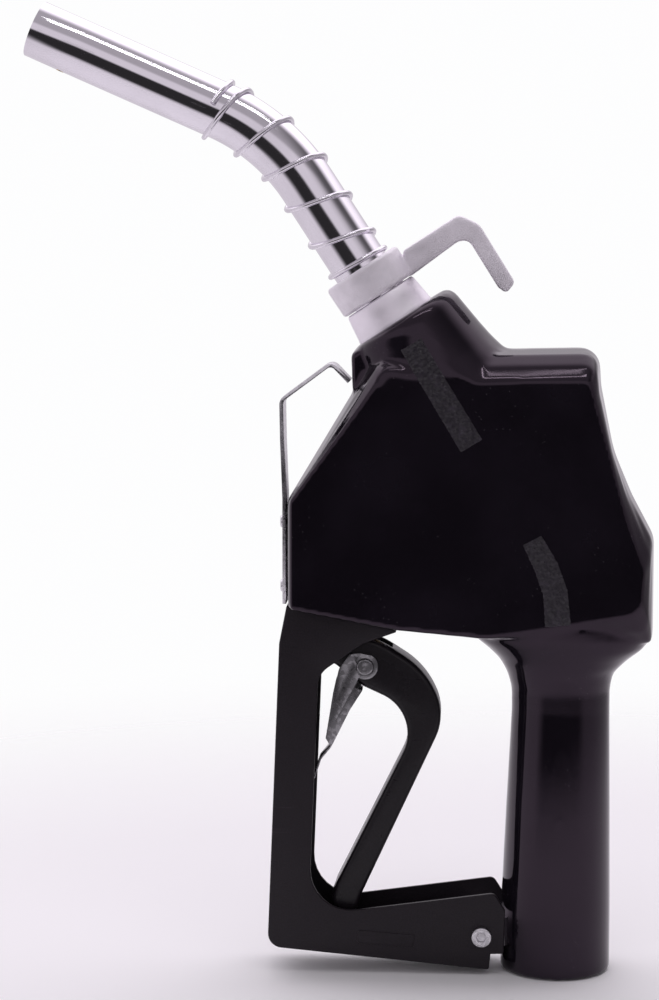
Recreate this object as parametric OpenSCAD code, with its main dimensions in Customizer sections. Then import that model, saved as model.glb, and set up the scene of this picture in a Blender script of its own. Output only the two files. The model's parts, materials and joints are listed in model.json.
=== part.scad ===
// Automatic shut-off fuel nozzle with a slip-on vinyl cover.
// The hose inlet is at the bottom of the grip, the spout leaves at the upper left,
// and the whole nozzle is symmetric about the plane y = 0 except for a few screws.
// Outlines are drawn in the XZ plane and extruded along Y.

/* [Grip and cover] */
// Outer diameter of the cover at the bottom of the grip
grip_d = 46.4; // [40:0.1:56]
// Outer diameter of the cover at the top of the grip
grip_top_d = 41.2; // [38:0.1:52]
// Height of the grip from the inlet mouth to the underside of the body
grip_h = 146; // [110:1:180]
// Radius of the flare from the grip into the body
flare_r = 14; // [10:1:22]
// Thickness of the vinyl cover
cover_wall = 2.6; // [1.5:0.1:4]
// Gap between the cover and the casting inside it
cover_gap = 0.2; // [0.1:0.05:0.5]

/* [Body] */
// Reach of the body to the left of the inlet axis
body_left = 114; // [100:1:140]
// Reach of the body to the right of the inlet axis
body_right = 39.6; // [34:0.1:50]
// Height of the body, from the right end of its underside to the top
body_h = 118; // [100:1:140]
// Depth of the body across its two flat side panels
body_depth = 56; // [48:1:72]
// Depth of the rim band around the body, between the two bevels
rim_depth = 40; // [30:1:46]

/* [Hose inlet] */
// Radius of the threaded inlet hole, for a 1 inch pipe thread
inlet_r = 15.2; // [12:0.1:18]
// Depth of the inlet thread
inlet_l = 22; // [15:1:30]
// Radius of the fuel passage in the grip
passage_r = 12; // [8:0.5:14]

/* [Spout] */
// Outer diameter of the spout tube
spout_d = 23.8; // [19:0.1:26]
// Wall of the spout tube
spout_wall = 1.3; // [0.8:0.1:2]
// Lean of the neck from upright, in degrees
neck_tilt = 33.2; // [20:0.1:45]
// Bend of the spout past the neck, in degrees
spout_bend = 33; // [15:1:50]
// Radius of the spout's bend
spout_bend_r = 84; // [60:1:120]
// Straight length from the neck to the start of the bend
spout_base_l = 67.2; // [50:0.1:90]
// Straight length from the end of the bend to the tip
spout_tip_l = 84; // [60:1:120]
// Length of the land under the end of the spring, past the bend
spring_land = 8; // [6:0.5:12]
// Depth of that land below the tube's outer face
land_step = 0.3; // [0.2:0.1:0.5]
// Wire diameter of the spring on the spout
spout_wire_d = 2.1; // [1.5:0.1:3]
// Mean radius of the spring on the spout
spout_coil_r = 13.85; // [13.4:0.05:16]
// Turns of the spring on the spout
spout_turns = 6.4; // [4:0.2:8]

/* [Neck, bushing and hook] */
// Radius of the cover around the neck
neck_r = 25; // [23:0.1:28]
// Radius of the bushing where it meets the neck
bushing_r = 17.6; // [16:0.1:19]
// Height of the bushing between the neck and the hook ring
bushing_h = 12.2; // [8:0.1:18]
// Outer radius of the hook ring
ring_r = 17.2; // [15:0.1:20]
// Height of the hook ring
ring_h = 13.7; // [10:0.1:18]
// Depth of the hook's arm
hook_depth = 10; // [6:0.5:14]
// Thickness of the hanger strap
strap_t = 1.6; // [1:0.1:2.5]
// Width of the hanger strap
strap_w = 19; // [12:1:26]

/* [Lever and guard] */
// Width of the lever
lever_w = 18; // [16:0.5:19]
// Depth of the guard channel
guard_depth = 30; // [29:0.5:36]
// Thickness of the guard sheet
guard_t = 1.8; // [1.2:0.1:2.5]
// Radius of the lever's hinge pin
pin_r = 2.5; // [2:0.1:3]
// Thickness of the hold-open clip's sheet
clip_t = 1; // [0.8:0.1:1.4]
// Radius of the clip's rivet
rivet_r = 2.5; // [1.5:0.1:2.8]
// Radius of the roller that lifts the valve stem
roller_r = 3; // [2:0.1:3.2]

/* [Valve] */
// Lean of the valve stem from upright, in degrees
stem_tilt = 33; // [30:0.5:35]
// Radius of the valve stem
stem_r = 4; // [3:0.1:4.5]
// Radius of the valve seat's opening
seat_r = 11; // [9:0.5:12]
// Radius of the main poppet
poppet_r = 13.4; // [12.5:0.1:13.8]
// Radius of the threaded cap over the main poppet
cap_r = 15; // [14.8:0.1:16]
// Radius of the trip stem
trip_r = 5; // [4:0.1:5.2]
// Radius of the shut-off diaphragm
diaphragm_r = 11.8; // [11:0.1:13]
// Radial clearance of a shaft that runs in a bore
run_gap = 0.06; // [0.02:0.01:0.09]
// Gap between pieces that only lie beside each other
side_gap = 0.3; // [0.2:0.05:0.5]

/* [Hidden] */
$fn = 64;

// Places that several pieces share, as [x, z] in the plane of symmetry
body_bottom = grip_h - 5;
body_top = body_bottom + body_h + 4.5;
neck_at = [-body_left + 45.3, body_top + 11.8];
stem_at = [-body_left + 32, body_bottom + 1];
lever_pin_at = [-body_left + 16, body_bottom - 1];
roller_at = stem_at + [-0.3, -3.6];
rivet_at = lever_pin_at + [17.1, -9.3];
bolt_at = [-grip_d / 2 - 8.3, 16.8];
trip_x = lever_pin_at.x;
hollow_at = [body_right + 134.4, body_top + 9.4];
guard_x = -body_left - 2.8;
top_screw_x = guard_x + 8.1;

// Heights along the axis of the valve stem
stem_low = stem_r + 0.1;
guide_top = 26;
seat_z = 79;
cap_z = 116;

// Height of the diaphragm in the body
diaphragm_z = body_bottom + 46;

// Sizes that several pieces share
bolt_r = 2.5;
screw_r = 1.5;
lug_r = 7.4;
guide_r = 7.95;
packing_r = 6.4;
hollow_r = 160;
inner_gap = cover_wall + cover_gap;
handle_r = grip_top_d / 2 - inner_gap;
mouth_r = grip_d / 2 - inner_gap;
slot_w = 2 * trip_r + 0.6;
plate_y = lever_w / 2 + side_gap;
channel_w = guard_depth - 2 * guard_t;
lug_w = channel_w - 2 * side_gap;
neck_shift = 2.4;
handle_shift = 1.5;

// ---------------------------------------------------------------- helpers

function unit(v) = v / norm(v);
function polar(r, a) = r * [cos(a), sin(a)];
function arc(c, r, a0, a1, n = 12) = [for (i = [0:n]) c + polar(r, a0 + (a1 - a0) * i / n)];

// One corner of an outline, replaced by an arc of radius r that touches both its sides
function corner(before, at, after, r, n) =
    let (u = unit(before - at), v = unit(after - at), half = acos(u * v) / 2,
         middle = at + unit(u + v) * r / sin(half),
         start = at + u * r / tan(half) - middle, stop = at + v * r / tan(half) - middle,
         a0 = atan2(start.y, start.x), turn = atan2(stop.y, stop.x) - a0,
         sweep = turn > 180 ? turn - 360 : turn < -180 ? turn + 360 : turn)
    [for (i = [0:n]) middle + polar(r, a0 + sweep * i / n)];

// An outline from points [x, z, r], each corner rounded to its radius r
function rounded(p, n = 6) =
    let (m = len(p), xz = [for (q = p) [q.x, q.y]])
    [for (i = [0:m - 1])
        each (p[i][2] == 0 ? [xz[i]] : corner(xz[(i + m - 1) % m], xz[i], xz[(i + 1) % m], p[i][2], n))];

// A middle line from points [x, z, r], each inner corner bent to its radius r
function bent(p, n = 6) =
    let (xz = [for (q = p) [q.x, q.y]], last = len(p) - 1)
    [xz[0], for (i = [1:last - 1]) each corner(xz[i - 1], xz[i], xz[i + 1], p[i][2], n), xz[last]];

// The outline of a strip of thickness t along the middle line p
function strip(p, t) =
    let (last = len(p) - 1,
         way = [for (i = [0:last - 1]) unit(p[i + 1] - p[i])],
         side = [for (i = [0:last])
            let (m = unit(way[max(i - 1, 0)] + way[min(i, last - 1)]), k = m * way[min(i, last - 1)])
            [-m.y, m.x] * t / 2 / k])
    concat([for (i = [0:last]) p[i] + side[i]], [for (i = [last:-1:0]) p[i] - side[i]]);

// Extrudes an outline in the XZ plane by depth along Y, centred on y
module plate(depth, y = 0) {
    translate([0, y, 0]) rotate([90, 0, 0]) linear_extrude(depth, center = true) children();
}

// Stands its children on the axis that starts at p = [x, z] and leans by tilt towards +X
module along(p, tilt) {
    translate([p.x, 0, p.y]) rotate([0, tilt, 0]) children();
}

// A cylinder on its children's Z axis, from z0 to z1
module rod(r, z0, z1) {
    translate([0, 0, z0]) cylinder(r = r, h = z1 - z0);
}

// A tube on the Z axis, from z0 to z1
module sleeve(r_out, r_in, z0, z1) {
    difference() {
        rod(r_out, z0, z1);
        rod(r_in, z0 - 1, z1 + 1);
    }
}

// A cylinder along Y at p = [x, z], from y0 to y1
module cross_rod(p, r, y0, y1, sides = 64) {
    translate([p.x, y1, p.y]) rotate([90, 0, 0]) cylinder(r = r, h = y1 - y0, $fn = sides);
}

function ring_tangent(path, i) = unit(path[min(i + 1, len(path) - 1)] - path[max(i - 1, 0)]);

// Sweeps a wire of radius r along path; outward[i] points away from the coil's axis
module wire(path, outward, r, sides = 8) {
    rings = [for (i = [0:len(path) - 1])
        let (t = ring_tangent(path, i), b = unit(cross(t, outward[i])), n = cross(b, t))
        [for (k = [0:sides - 1]) path[i] + r * (cos(360 * k / sides) * n + sin(360 * k / sides) * b)]];
    last = len(path) - 1;
    polyhedron(
        points = [for (ring = rings) each ring],
        faces = [
            [for (k = [0:sides - 1]) k],
            for (i = [0:last - 1], k = [0:sides - 1])
                [i * sides + k, (i + 1) * sides + k,
                 (i + 1) * sides + (k + 1) % sides, i * sides + (k + 1) % sides],
            [for (k = [sides - 1:-1:0]) last * sides + k]],
        convexity = 8);
}

// A compression spring on the Z axis, from z0 to z1, over its whole wire
module coil(mean_r, wire_r, z0, z1, turns, steps = 12, sides = 6) {
    count = turns * steps;
    rise = z1 - z0 - 2 * wire_r;
    angles = [for (i = [0:count]) 360 * i / steps];
    wire([for (i = [0:count]) [mean_r * cos(angles[i]), mean_r * sin(angles[i]),
                               z0 + wire_r + rise * i / count]],
         [for (a = angles) [cos(a), sin(a), 0]], wire_r, sides);
}

// ------------------------------------------------------- body and its cover

// The body's outline at its middle
function body_outline() = rounded([
    [-body_left, body_bottom + 16, 2],
    [-body_left, body_bottom + 59, 6],
    [-body_left + 35.7, body_top - 4, 4],
    [-20, body_top, 10],
    [body_right - 23.5, body_top, 9],
    [body_right, body_bottom + 43, 16],
    [body_right, body_bottom, 3],
    [-33, body_bottom + 3.7, 1],
    [-body_left + 46, body_bottom + 7, 1]]);

// The outline of the flat side panels, inside the bevels
function panel_outline() = rounded([
    [-body_left + 3, body_bottom + 16, 1],
    [-body_left + 3, body_bottom + 62, 3],
    [-body_left + 44, body_top - 5, 3],
    [-body_left + 70, body_top - 11.5, 1],
    [body_right - 31, body_top - 11.5, 3],
    [body_right - 6, body_bottom + 31, 8],
    [body_right - 8, body_bottom + 14, 8],
    [-30, body_bottom + 4.5, 1],
    [-body_left + 46, body_bottom + 8, 1]]);

// The body's bevelled block with its hollowed right side, taken in all round by inset
module block(inset) {
    difference() {
        hull() {
            plate(rim_depth - 2 * inset) offset(delta = -inset) polygon(body_outline());
            plate(body_depth - 2 * inset) offset(delta = -inset) polygon(panel_outline());
        }
        cross_rod(hollow_at, hollow_r + inset, -body_depth, body_depth, 180);
    }
}

// Where the grip flares into the underside of the body
module root_flare(inset) {
    r = grip_top_d / 2 - inset;
    low = body_bottom - flare_r - 1;
    intersection() {
        translate([handle_shift, 0, 0]) rotate_extrude() polygon(concat(
            [[0, low], for (a = [0:15:75]) [r + flare_r * (1 - cos(a)), low + flare_r * sin(a)]],
            [[r + flare_r * (1 - cos(75)), body_bottom + 9], [0, body_bottom + 9]]));
        plate(body_depth - 10 - 2 * inset) translate([-60, body_bottom - 60]) square([120, 80]);
    }
}

// The grip, a round bar that tapers a little on its left side
module grip_bar(inset) {
    hull() {
        rod(grip_d / 2 - inset, 1, 26);
        translate([handle_shift, 0, 0]) rod(grip_top_d / 2 - inset, body_bottom - 29, body_bottom + 14);
    }
}

module neck_bar(r, low, top) {
    along(neck_at, -neck_tilt) translate([neck_shift, 0, 0]) rotate_extrude()
        polygon(rounded([[0, low, 0], [r + 3, low, 0], [r, -14, 6], [r, top, 2.5], [0, top, 0]]));
}

// The window in the underside, where the stems come out
module bottom_window(depth) {
    plate(depth) translate([-body_left + 3, body_bottom - 4]) square([45, 34]);
}

// The boss for the guard bolt, on a narrower neck that passes through the cover
module guard_lug(depth, r) {
    plate(depth) translate(bolt_at) circle(r);
    plate(depth - 10) translate([bolt_at.x, bolt_at.y - r + 1.5]) square([20, 2 * r - 3]);
}

module body_cover() {
    color([0.035, 0.032, 0.045]) difference() {
        union() {
            block(0);
            grip_bar(0);
            root_flare(0);
            neck_bar(neck_r, -34, 0);
        }
        block(cover_wall);
        root_flare(cover_wall);
        rod(mouth_r + cover_gap, -1, 30);
        translate([handle_shift, 0, 0]) rod(handle_r + cover_gap, 25, body_bottom + 16);
        along(neck_at, -neck_tilt) {
            rod(neck_r - neck_shift - cover_wall, -34, -cover_wall);
            rod(bushing_r + side_gap, -6, 2);
        }
        bottom_window(lug_w + 2 * cover_gap);
        guard_lug(lug_w + 2 * cover_gap, lug_r + cover_gap);
        strap_screw_axes(screw_r + 0.5);
    }
}

module body_casting() {
    color([0.62, 0.62, 0.64]) difference() {
        union() {
            block(inner_gap);
            translate([handle_shift, 0, 0]) rod(handle_r, 29, body_bottom + 16);
            rod(mouth_r, 0, 29.5);
            root_flare(inner_gap);
            along(neck_at, -neck_tilt) rod(neck_r - neck_shift - inner_gap, -50, -inner_gap);
            intersection() {
                bottom_window(lug_w);
                block(0.1);
            }
            guard_lug(lug_w, lug_r);
        }
        // Hose thread and the fuel way up the grip
        rod(inlet_r, -1, inlet_l);
        rod(passage_r, inlet_l - 1, body_top - 56);
        // Main valve: chamber, seat, lower chamber and stem bores
        along(stem_at, stem_tilt) {
            rod(cap_r, cap_z - 4, cap_z + 34);
            rod(poppet_r + 1.1, seat_z - 1, cap_z - 3);
            rod(seat_r, 44, seat_z);
            rod(stem_r + 0.6, 29, 45);
            rod(packing_r + 0.1, guide_top, 30);
            rod(guide_r + 0.05, 0, guide_top);
        }
        hull() {
            translate([0, 0, body_top - 62]) sphere(r = 10, $fn = 32);
            along(stem_at, stem_tilt) translate([0, 0, cap_z - 20]) sphere(r = 10, $fn = 32);
        }
        // Fuel way from under the seat to the neck
        translate([-body_left + 54, 0, 0]) rod(8.5, body_bottom + 45, body_top);
        along(neck_at, -neck_tilt) {
            rod(14.5, -44, 2);
            rod(9, -52, -43);
        }
        // Trip stem, latch and diaphragm
        translate([trip_x, 0, 0]) {
            rod(trip_r + run_gap, body_bottom, body_bottom + 19);
            rod(8, body_bottom + 18, body_bottom + 41.5);
            rod(1.9, body_bottom + 40, body_bottom + 45);
            rod(10.5, diaphragm_z - 2.5, diaphragm_z + 1);
            rod(diaphragm_r + 0.3, diaphragm_z, body_top);
        }
        // Guard bolt and screw holes
        cross_rod(bolt_at, bolt_r + 0.1, -30, 30);
        strap_screw_axes(screw_r);
        top_screw_axes(screw_r);
    }
}

// -------------------------------------------------------------- main valve

module body_cap() {
    color([0.72, 0.66, 0.45]) along(stem_at, stem_tilt) difference() {
        rod(cap_r - 0.05, cap_z, cap_z + 12);
        rod(7, cap_z + 6, cap_z + 13);
        rod(11.5, cap_z - 1, cap_z + 2);
        rotate_extrude() translate([cap_r - 1.65, cap_z + 3.2]) square([2, 1.9]);
    }
}

module cap_oring() {
    color([0.05, 0.05, 0.05]) along(stem_at, stem_tilt)
        rotate_extrude() translate([cap_r - 0.83, cap_z + 4.15]) circle(r = 0.8, $fn = 24);
}

module main_poppet() {
    color([0.72, 0.6, 0.3]) along(stem_at, stem_tilt) difference() {
        union() {
            rod(poppet_r, seat_z + 2, seat_z + 5.5);
            rod(7.5, seat_z + 5.4, seat_z + 13);
            rod(6.8, seat_z - 1, seat_z + 2.1);
        }
        rod(stem_r, seat_z - 9, seat_z + 9);
    }
}

module poppet_seal() {
    color([0.06, 0.06, 0.06]) along(stem_at, stem_tilt)
        sleeve(poppet_r - 0.6, 6.8, seat_z - 0.85, seat_z + 2);
}

module poppet_spring() {
    color([0.7, 0.7, 0.72]) along(stem_at, stem_tilt) coil(9.6, 0.8, seat_z + 5.6, cap_z + 1.9, 6);
}

module valve_stem() {
    color([0.75, 0.75, 0.77]) along(stem_at, stem_tilt) {
        rod(stem_r, stem_low, seat_z + 9);
        translate([0, 0, stem_low]) sphere(r = stem_r, $fn = 48);
    }
}

module stem_guide() {
    color([0.72, 0.6, 0.3]) intersection() {
        along(stem_at, stem_tilt) sleeve(guide_r, stem_r + run_gap, 5, guide_top);
        block(0.1);
    }
}

module stem_packing() {
    color([0.06, 0.06, 0.06]) along(stem_at, stem_tilt)
        sleeve(packing_r, stem_r + run_gap, guide_top + 0.1, 28.9);
}

// ------------------------------------------------- shut-off trip mechanism

module trip_stem() {
    color([0.75, 0.75, 0.77]) difference() {
        translate([trip_x, 0, 0]) {
            rod(trip_r, lever_pin_at.y - 5.5, body_bottom + 37.5);
            rod(7.6, body_bottom + 36.5, body_bottom + 41);
        }
        cross_rod(lever_pin_at, pin_r + run_gap, -20, 20);
        translate([trip_x, 0, 0]) rod(1.8, body_bottom + 30, body_bottom + 42);
        latch_roller_axes(1.5);
    }
}

module latch_roller_axes(r) {
    for (side = [-1, 1])
        translate([trip_x + side * 3.4, 0, body_bottom + 35])
            rotate([90, 0, 0]) cylinder(r = r, h = 7, center = true);
}

module latch_rollers() {
    color([0.8, 0.8, 0.82]) latch_roller_axes(1.45);
}

module trip_spring() {
    color([0.7, 0.7, 0.72]) translate([trip_x, 0, 0])
        coil(6.5, 0.6, body_bottom + 18.2, body_bottom + 36.4, 6);
}

module latch_pin() {
    color([0.8, 0.8, 0.82]) translate([trip_x, 0, 0]) {
        rod(1.6, body_bottom + 31, diaphragm_z + 2.6);
        rod(7, diaphragm_z + 1.2, diaphragm_z + 2.6);
    }
}

module diaphragm() {
    color([0.08, 0.08, 0.08]) translate([trip_x, 0, 0])
        sleeve(diaphragm_r, 1.8, diaphragm_z, diaphragm_z + 1);
}

module diaphragm_cover() {
    color([0.62, 0.62, 0.64]) translate([trip_x, 0, 0]) difference() {
        rod(diaphragm_r + 0.1, diaphragm_z + 1, diaphragm_z + 11);
        rod(9.5, diaphragm_z, diaphragm_z + 9.6);
        rod(3.4, diaphragm_z + 10.3, diaphragm_z + 14);
    }
}

module diaphragm_spring() {
    color([0.7, 0.7, 0.72]) translate([trip_x, 0, 0])
        coil(5, 0.45, diaphragm_z + 2.7, diaphragm_z + 9.5, 4);
}

// ----------------------------------------------------------- lever and clip

// The lever's side outline: hinge lobe, wide head, bow and straight strand
function lever_outline() = let (p = lever_pin_at) rounded([
    [p.x - 7.4, p.y - 6.5, 6.5],
    [p.x - 7.4, p.y + 7.4, 7],
    [p.x + 8, p.y + 5.2, 5],
    [p.x + 22.8, p.y + 1.8, 8],
    [p.x + 42, p.y - 10.5, 16],
    [p.x + 51.4, p.y - 30, 22],
    [p.x + 15.9, p.y - 107, 0],
    [p.x + 13, p.y - 117.5, 5],
    [p.x + 1.5, p.y - 113, 5],
    [p.x + 4.9, p.y - 102.9, 0],
    [p.x + 37.6, p.y - 37, 18],
    [p.x + 29, p.y - 24, 12],
    [p.x + 16.6, p.y - 18.3, 6],
    [p.x + 4, p.y - 8.5, 6]]);

module lever() {
    color([0.05, 0.047, 0.055]) difference() {
        plate(lever_w) polygon(lever_outline());
        // The slot between the two walls of the head
        translate([lever_pin_at.x - 12, -slot_w / 2, lever_pin_at.y - 25]) cube([40.5, slot_w, 45]);
        cross_rod(lever_pin_at, pin_r, -20, 20);
        cross_rod(roller_at, 1.5, -20, 20);
        cross_rod(rivet_at, rivet_r, -20, 20);
    }
}

module lever_pin() {
    color([0.75, 0.75, 0.77]) {
        head_y = lever_w / 2 + 0.05;
        cross_rod(lever_pin_at, pin_r, -head_y - 0.05, head_y + 0.05);
        cross_rod(lever_pin_at, 3.7, -head_y - 1.2, -head_y);
        cross_rod(lever_pin_at, 3.7, head_y, head_y + 1.2);
    }
}

module lever_roller() {
    color([0.75, 0.75, 0.77]) {
        cross_rod(roller_at, roller_r, 0.1 - slot_w / 2, slot_w / 2 - 0.1);
        cross_rod(roller_at, 1.5, 0.5 - lever_w / 2, lever_w / 2 - 0.5);
    }
}

// The clip's side plates: a round eye with a tail that narrows towards the finger
function clip_outline() = let (p = rivet_at) concat(
    arc(p, 5.4, -120, 60, 18),
    [for (q = [[-2, 5.6], [-6.4, 5.3], [-10.5, -0.5], [-12.2, -5.4], [-13.5, -11.4], [-16.6, -30.6],
               [-14.9, -33.6], [-14, -32.8], [-7.2, -19], [-2, -10.2], [-4.6, -9]]) p + q]);

module hold_open_clip() {
    p = rivet_at;
    web = [[p.x - 1.6, p.y - 10], [p.x - 6.8, p.y - 18.2, 20], [p.x - 14.2, p.y - 33.2]];
    finger = [[p.x - 14.2, p.y - 33.2], [p.x - 15, p.y - 35.4, 1], [p.x - 19.2, p.y - 40.6, 4],
              [p.x - 22, p.y - 49.1]];
    color([0.8, 0.8, 0.82]) difference() {
        union() {
            for (side = [-1, 1])
                plate(clip_t, side * (plate_y + clip_t / 2)) polygon(clip_outline());
            plate(2 * (plate_y + clip_t)) polygon(strip(bent(web), clip_t));
            plate(9) polygon(strip(bent(finger), clip_t));
        }
        cross_rod(rivet_at, rivet_r + run_gap, -20, 20);
    }
}

module clip_rivet() {
    head_y = plate_y + clip_t + 0.1;
    color([0.8, 0.8, 0.82]) {
        cross_rod(rivet_at, rivet_r, -head_y, head_y);
        for (side = [-1, 1])
            translate([rivet_at.x, side * head_y, rivet_at.y]) rotate([-90 * side, 0, 0]) rotate_extrude()
                polygon(concat([[0, 0], [3.7, 0], [3.7, 0.5]], arc([2.7, 0.5], 1, 0, 90, 6),
                               [[1.4, 1.5], [0, 1.1]]));
    }
}

module clip_spring() {
    turns = 4;
    steps = 14;
    mean = rivet_r + 0.85;
    angles = [for (i = [0:turns * steps]) -90 + 360 * i / steps];
    points = [for (i = [0:turns * steps]) rivet_at + polar(mean, angles[i])];
    width = slot_w - 2.4;
    last = turns * steps;
    color([0.75, 0.75, 0.77]) wire(
        concat([for (i = [0:last]) [points[i].x, width * (i / last - 0.5), points[i].y]],
               [[points[last].x - 2.4, width / 2, points[last].y - 2.6]]),
        concat([for (a = angles) [cos(a), 0, sin(a)]], [[0, 0, -1]]), 0.45, 6);
}

// -------------------------------------------------------------------- guard

// The guard's outer outline
function guard_outline() = let (b = body_bottom) rounded([
    [guard_x + 3, b + 15.3, 0],
    [guard_x, b, 10],
    [guard_x - 5.2, 11, 6],
    [-28.2, 2.3, 1],
    [-27.6, 9, 0],
    [-grip_d / 2 + 1.2, 9.2, 1],
    [-grip_d / 2 + 1.7, 28, 3],
    [-26.1, 35.3, 3],
    [guard_x + 34.8, 27.6, 20],
    [guard_x + 12.3, 25, 17],
    [guard_x + 16.4, b - 13, 10],
    [guard_x + 34.8, b, 6],
    [guard_x + 48.8, b + 5, 0],
    [guard_x + 49.3, b + 6.3, 0]]);

// The space inside the channel, open towards the lever
function channel_outline() = let (b = body_bottom, t = guard_t) rounded([
    [guard_x + 3 + t, b + 20, 0],
    [guard_x + t, b, 10 - t],
    [guard_x - 5.2 + t, 11 + t, 6 - t],
    [-20, t + 1.5, 0],
    [-10, 40, 0],
    [guard_x + 56.8, 80, 0],
    [guard_x + 66.8, b + 20, 0]]);

module guard() {
    tab = [[guard_x + 3.2, body_bottom + 15], [trip_x - trip_r - 1.2, body_bottom + 13.6]];
    color([0.05, 0.047, 0.055]) difference() {
        union() {
            difference() {
                plate(guard_depth) polygon(guard_outline());
                plate(channel_w) polygon(channel_outline());
            }
            plate(channel_w) polygon([tab[0], tab[1], tab[1] - [0, guard_t], tab[0] - [0, guard_t]]);
        }
        cross_rod(bolt_at, bolt_r + 0.1, -30, 30);
        top_screw_axes(screw_r + 0.1);
    }
}

module top_screw_axes(r) {
    for (side = [-1, 1])
        translate([top_screw_x, side * 8, body_bottom + 4]) cylinder(r = r, h = 20);
}

module guard_top_screws() {
    color([0.6, 0.6, 0.62]) {
        top = body_bottom + 11.9;
        for (side = [-1, 1]) translate([top_screw_x, side * 8, 0]) {
            rod(screw_r, top - 0.1, body_bottom + 23);
            difference() {
                rod(2.7, top - 1.7, top);
                translate([-0.4, -3, top - 2]) cube([0.8, 6, 1]);
            }
        }
    }
}

module guard_bolt() {
    head_y = guard_depth / 2;
    color([0.7, 0.7, 0.72]) difference() {
        union() {
            cross_rod(bolt_at, bolt_r, -head_y - 0.1, head_y + 4.6);
            cross_rod(bolt_at, 4.15, -head_y - 2.6, -head_y);
        }
        translate([bolt_at.x, -head_y - 1, bolt_at.y]) rotate([90, 0, 0]) cylinder(r = 2.2, h = 3, $fn = 6);
    }
}

module guard_nut() {
    color([0.7, 0.7, 0.72]) difference() {
        translate([bolt_at.x, guard_depth / 2 + 4, bolt_at.y])
            rotate([90, 0, 0]) cylinder(r = 4.6, h = 4, $fn = 6);
        cross_rod(bolt_at, bolt_r, 0, 40);
    }
}

// ------------------------------------------------------------ hanger strap

strap_screw_z = [body_bottom + 22.6, body_bottom + 49.9];

module strap_screw_axes(r) {
    for (z = strap_screw_z)
        translate([-body_left - 4, 0, z]) rotate([0, 90, 0]) cylinder(r = r, h = 7.4);
}

module hanger_strap() {
    x = -body_left - strap_t / 2 - 0.1;
    color([0.72, 0.72, 0.74]) difference() {
        plate(strap_w) polygon(strip(bent([
            [x + 27.1, body_top - 13.2], [x + 19.7, body_top - 5.5, 3], [x - 1.2, body_top - 21, 3.5],
            [x - 0.9, body_top - 38, 30], [x, body_top - 62, 30], [x, body_bottom + 16]]), strap_t));
        strap_screw_axes(screw_r + 0.1);
    }
}

module strap_screws() {
    color([0.72, 0.72, 0.74]) for (z = strap_screw_z)
        translate([-body_left - strap_t - 0.2, 0, z]) rotate([0, 90, 0]) difference() {
            union() {
                rod(screw_r, -0.1, 4.8);
                rotate_extrude()
                    polygon(concat([[0, 0], [0, -1.3]], arc([1.9, -0.5], 0.8, -90, 0, 6), [[2.7, 0]]));
            }
            translate([-3, -0.4, -2]) cube([6, 0.8, 1.2]);
        }
}

// -------------------------------------------------------- check valve, neck

module check_seat() {
    color([0.72, 0.6, 0.3]) along(neck_at, -neck_tilt) difference() {
        rod(14.4, -44, -37);
        rotate_extrude() polygon([[0, -45], [7, -45], [7, -41], [9.5, -36.9], [0, -36.9]]);
    }
}

module check_cone() {
    color([0.8, 0.8, 0.78]) along(neck_at, -neck_tilt) rotate_extrude()
        polygon([[0, -41], [6.6, -41], [9.6, -36.4], [9.6, -34.6], [2.2, -34.6], [2.2, -20], [0, -20]]);
}

module check_spring() {
    color([0.7, 0.7, 0.72]) along(neck_at, -neck_tilt) coil(5, 0.6, -34.4, -17, 5, 16, 8);
}

module spout_bushing() {
    color([0.72, 0.72, 0.74]) along(neck_at, -neck_tilt) difference() {
        rotate_extrude() polygon([
            [2.3, -16.9], [14.4, -16.9], [14.4, -6.6], [13.2, -6.6], [13.2, -4.6], [14.4, -4.6],
            [14.4, -cover_wall], [bushing_r, -cover_wall + 0.2], [bushing_r, 1],
            [bushing_r - 0.9, bushing_h / 2], [bushing_r - 1.85, bushing_h],
            [spout_d / 2, bushing_h], [spout_d / 2, -9], [10.6, -9], [10.6, -14], [2.3, -14]]);
        for (a = [0:60:300])
            rotate([0, 0, a]) translate([6.6, 0, -20]) cylinder(r = 2.4, h = 8);
    }
}

module bushing_oring() {
    color([0.06, 0.06, 0.06]) along(neck_at, -neck_tilt)
        rotate_extrude() translate([13.84, -5.6]) circle(r = 0.62, $fn = 24);
}

// ------------------------------------------------------------------- spout

bend_start = neck_at + spout_base_l * [-sin(neck_tilt), cos(neck_tilt)];
bend_centre = bend_start - spout_bend_r * [cos(neck_tilt), sin(neck_tilt)];
bend_end = bend_centre + spout_bend_r * [cos(neck_tilt + spout_bend), sin(neck_tilt + spout_bend)];
tip_tilt = neck_tilt + spout_bend;
tip_at = bend_end + spout_tip_l * [-sin(tip_tilt), cos(tip_tilt)];

// A bar of radius r that follows the spout, shifted by off away from the centre of its bend.
// The bend is thinner by step, and the land past it by land, so that they meet on clean edges.
module spout_bar(r, off, low, tip_l, step, land = 0) {
    reach = 0.4;
    along(neck_at, -neck_tilt) translate([off, 0, 0]) rod(r, low, spout_base_l);
    translate([bend_centre.x, 0, bend_centre.y]) rotate([90, 0, 0])
        rotate([0, 0, neck_tilt - reach]) rotate_extrude(angle = spout_bend + 2 * reach, $fn = 128)
            translate([spout_bend_r + off, 0]) circle(r - step);
    along(bend_end, -tip_tilt) translate([off, 0, 0]) {
        rod(r - 2 * step - land, 0, spring_land + 0.1);
        rod(r, spring_land, tip_l);
    }
}

port_at = spout_tip_l - 16;

module spout() {
    color([0.85, 0.85, 0.87]) difference() {
        spout_bar(spout_d / 2, 0, -9, spout_tip_l, 0.03, land_step);
        spout_bar(spout_d / 2 - spout_wall, 0, -10, spout_tip_l + 1, -0.03);
        along(bend_end, -tip_tilt) translate([-spout_d / 2 - 2, 0, port_at])
            rotate([0, 90, 0]) cylinder(r = 1.6, h = 6);
    }
}

tube_off = -spout_d / 2 + spout_wall + 2.3;

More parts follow.
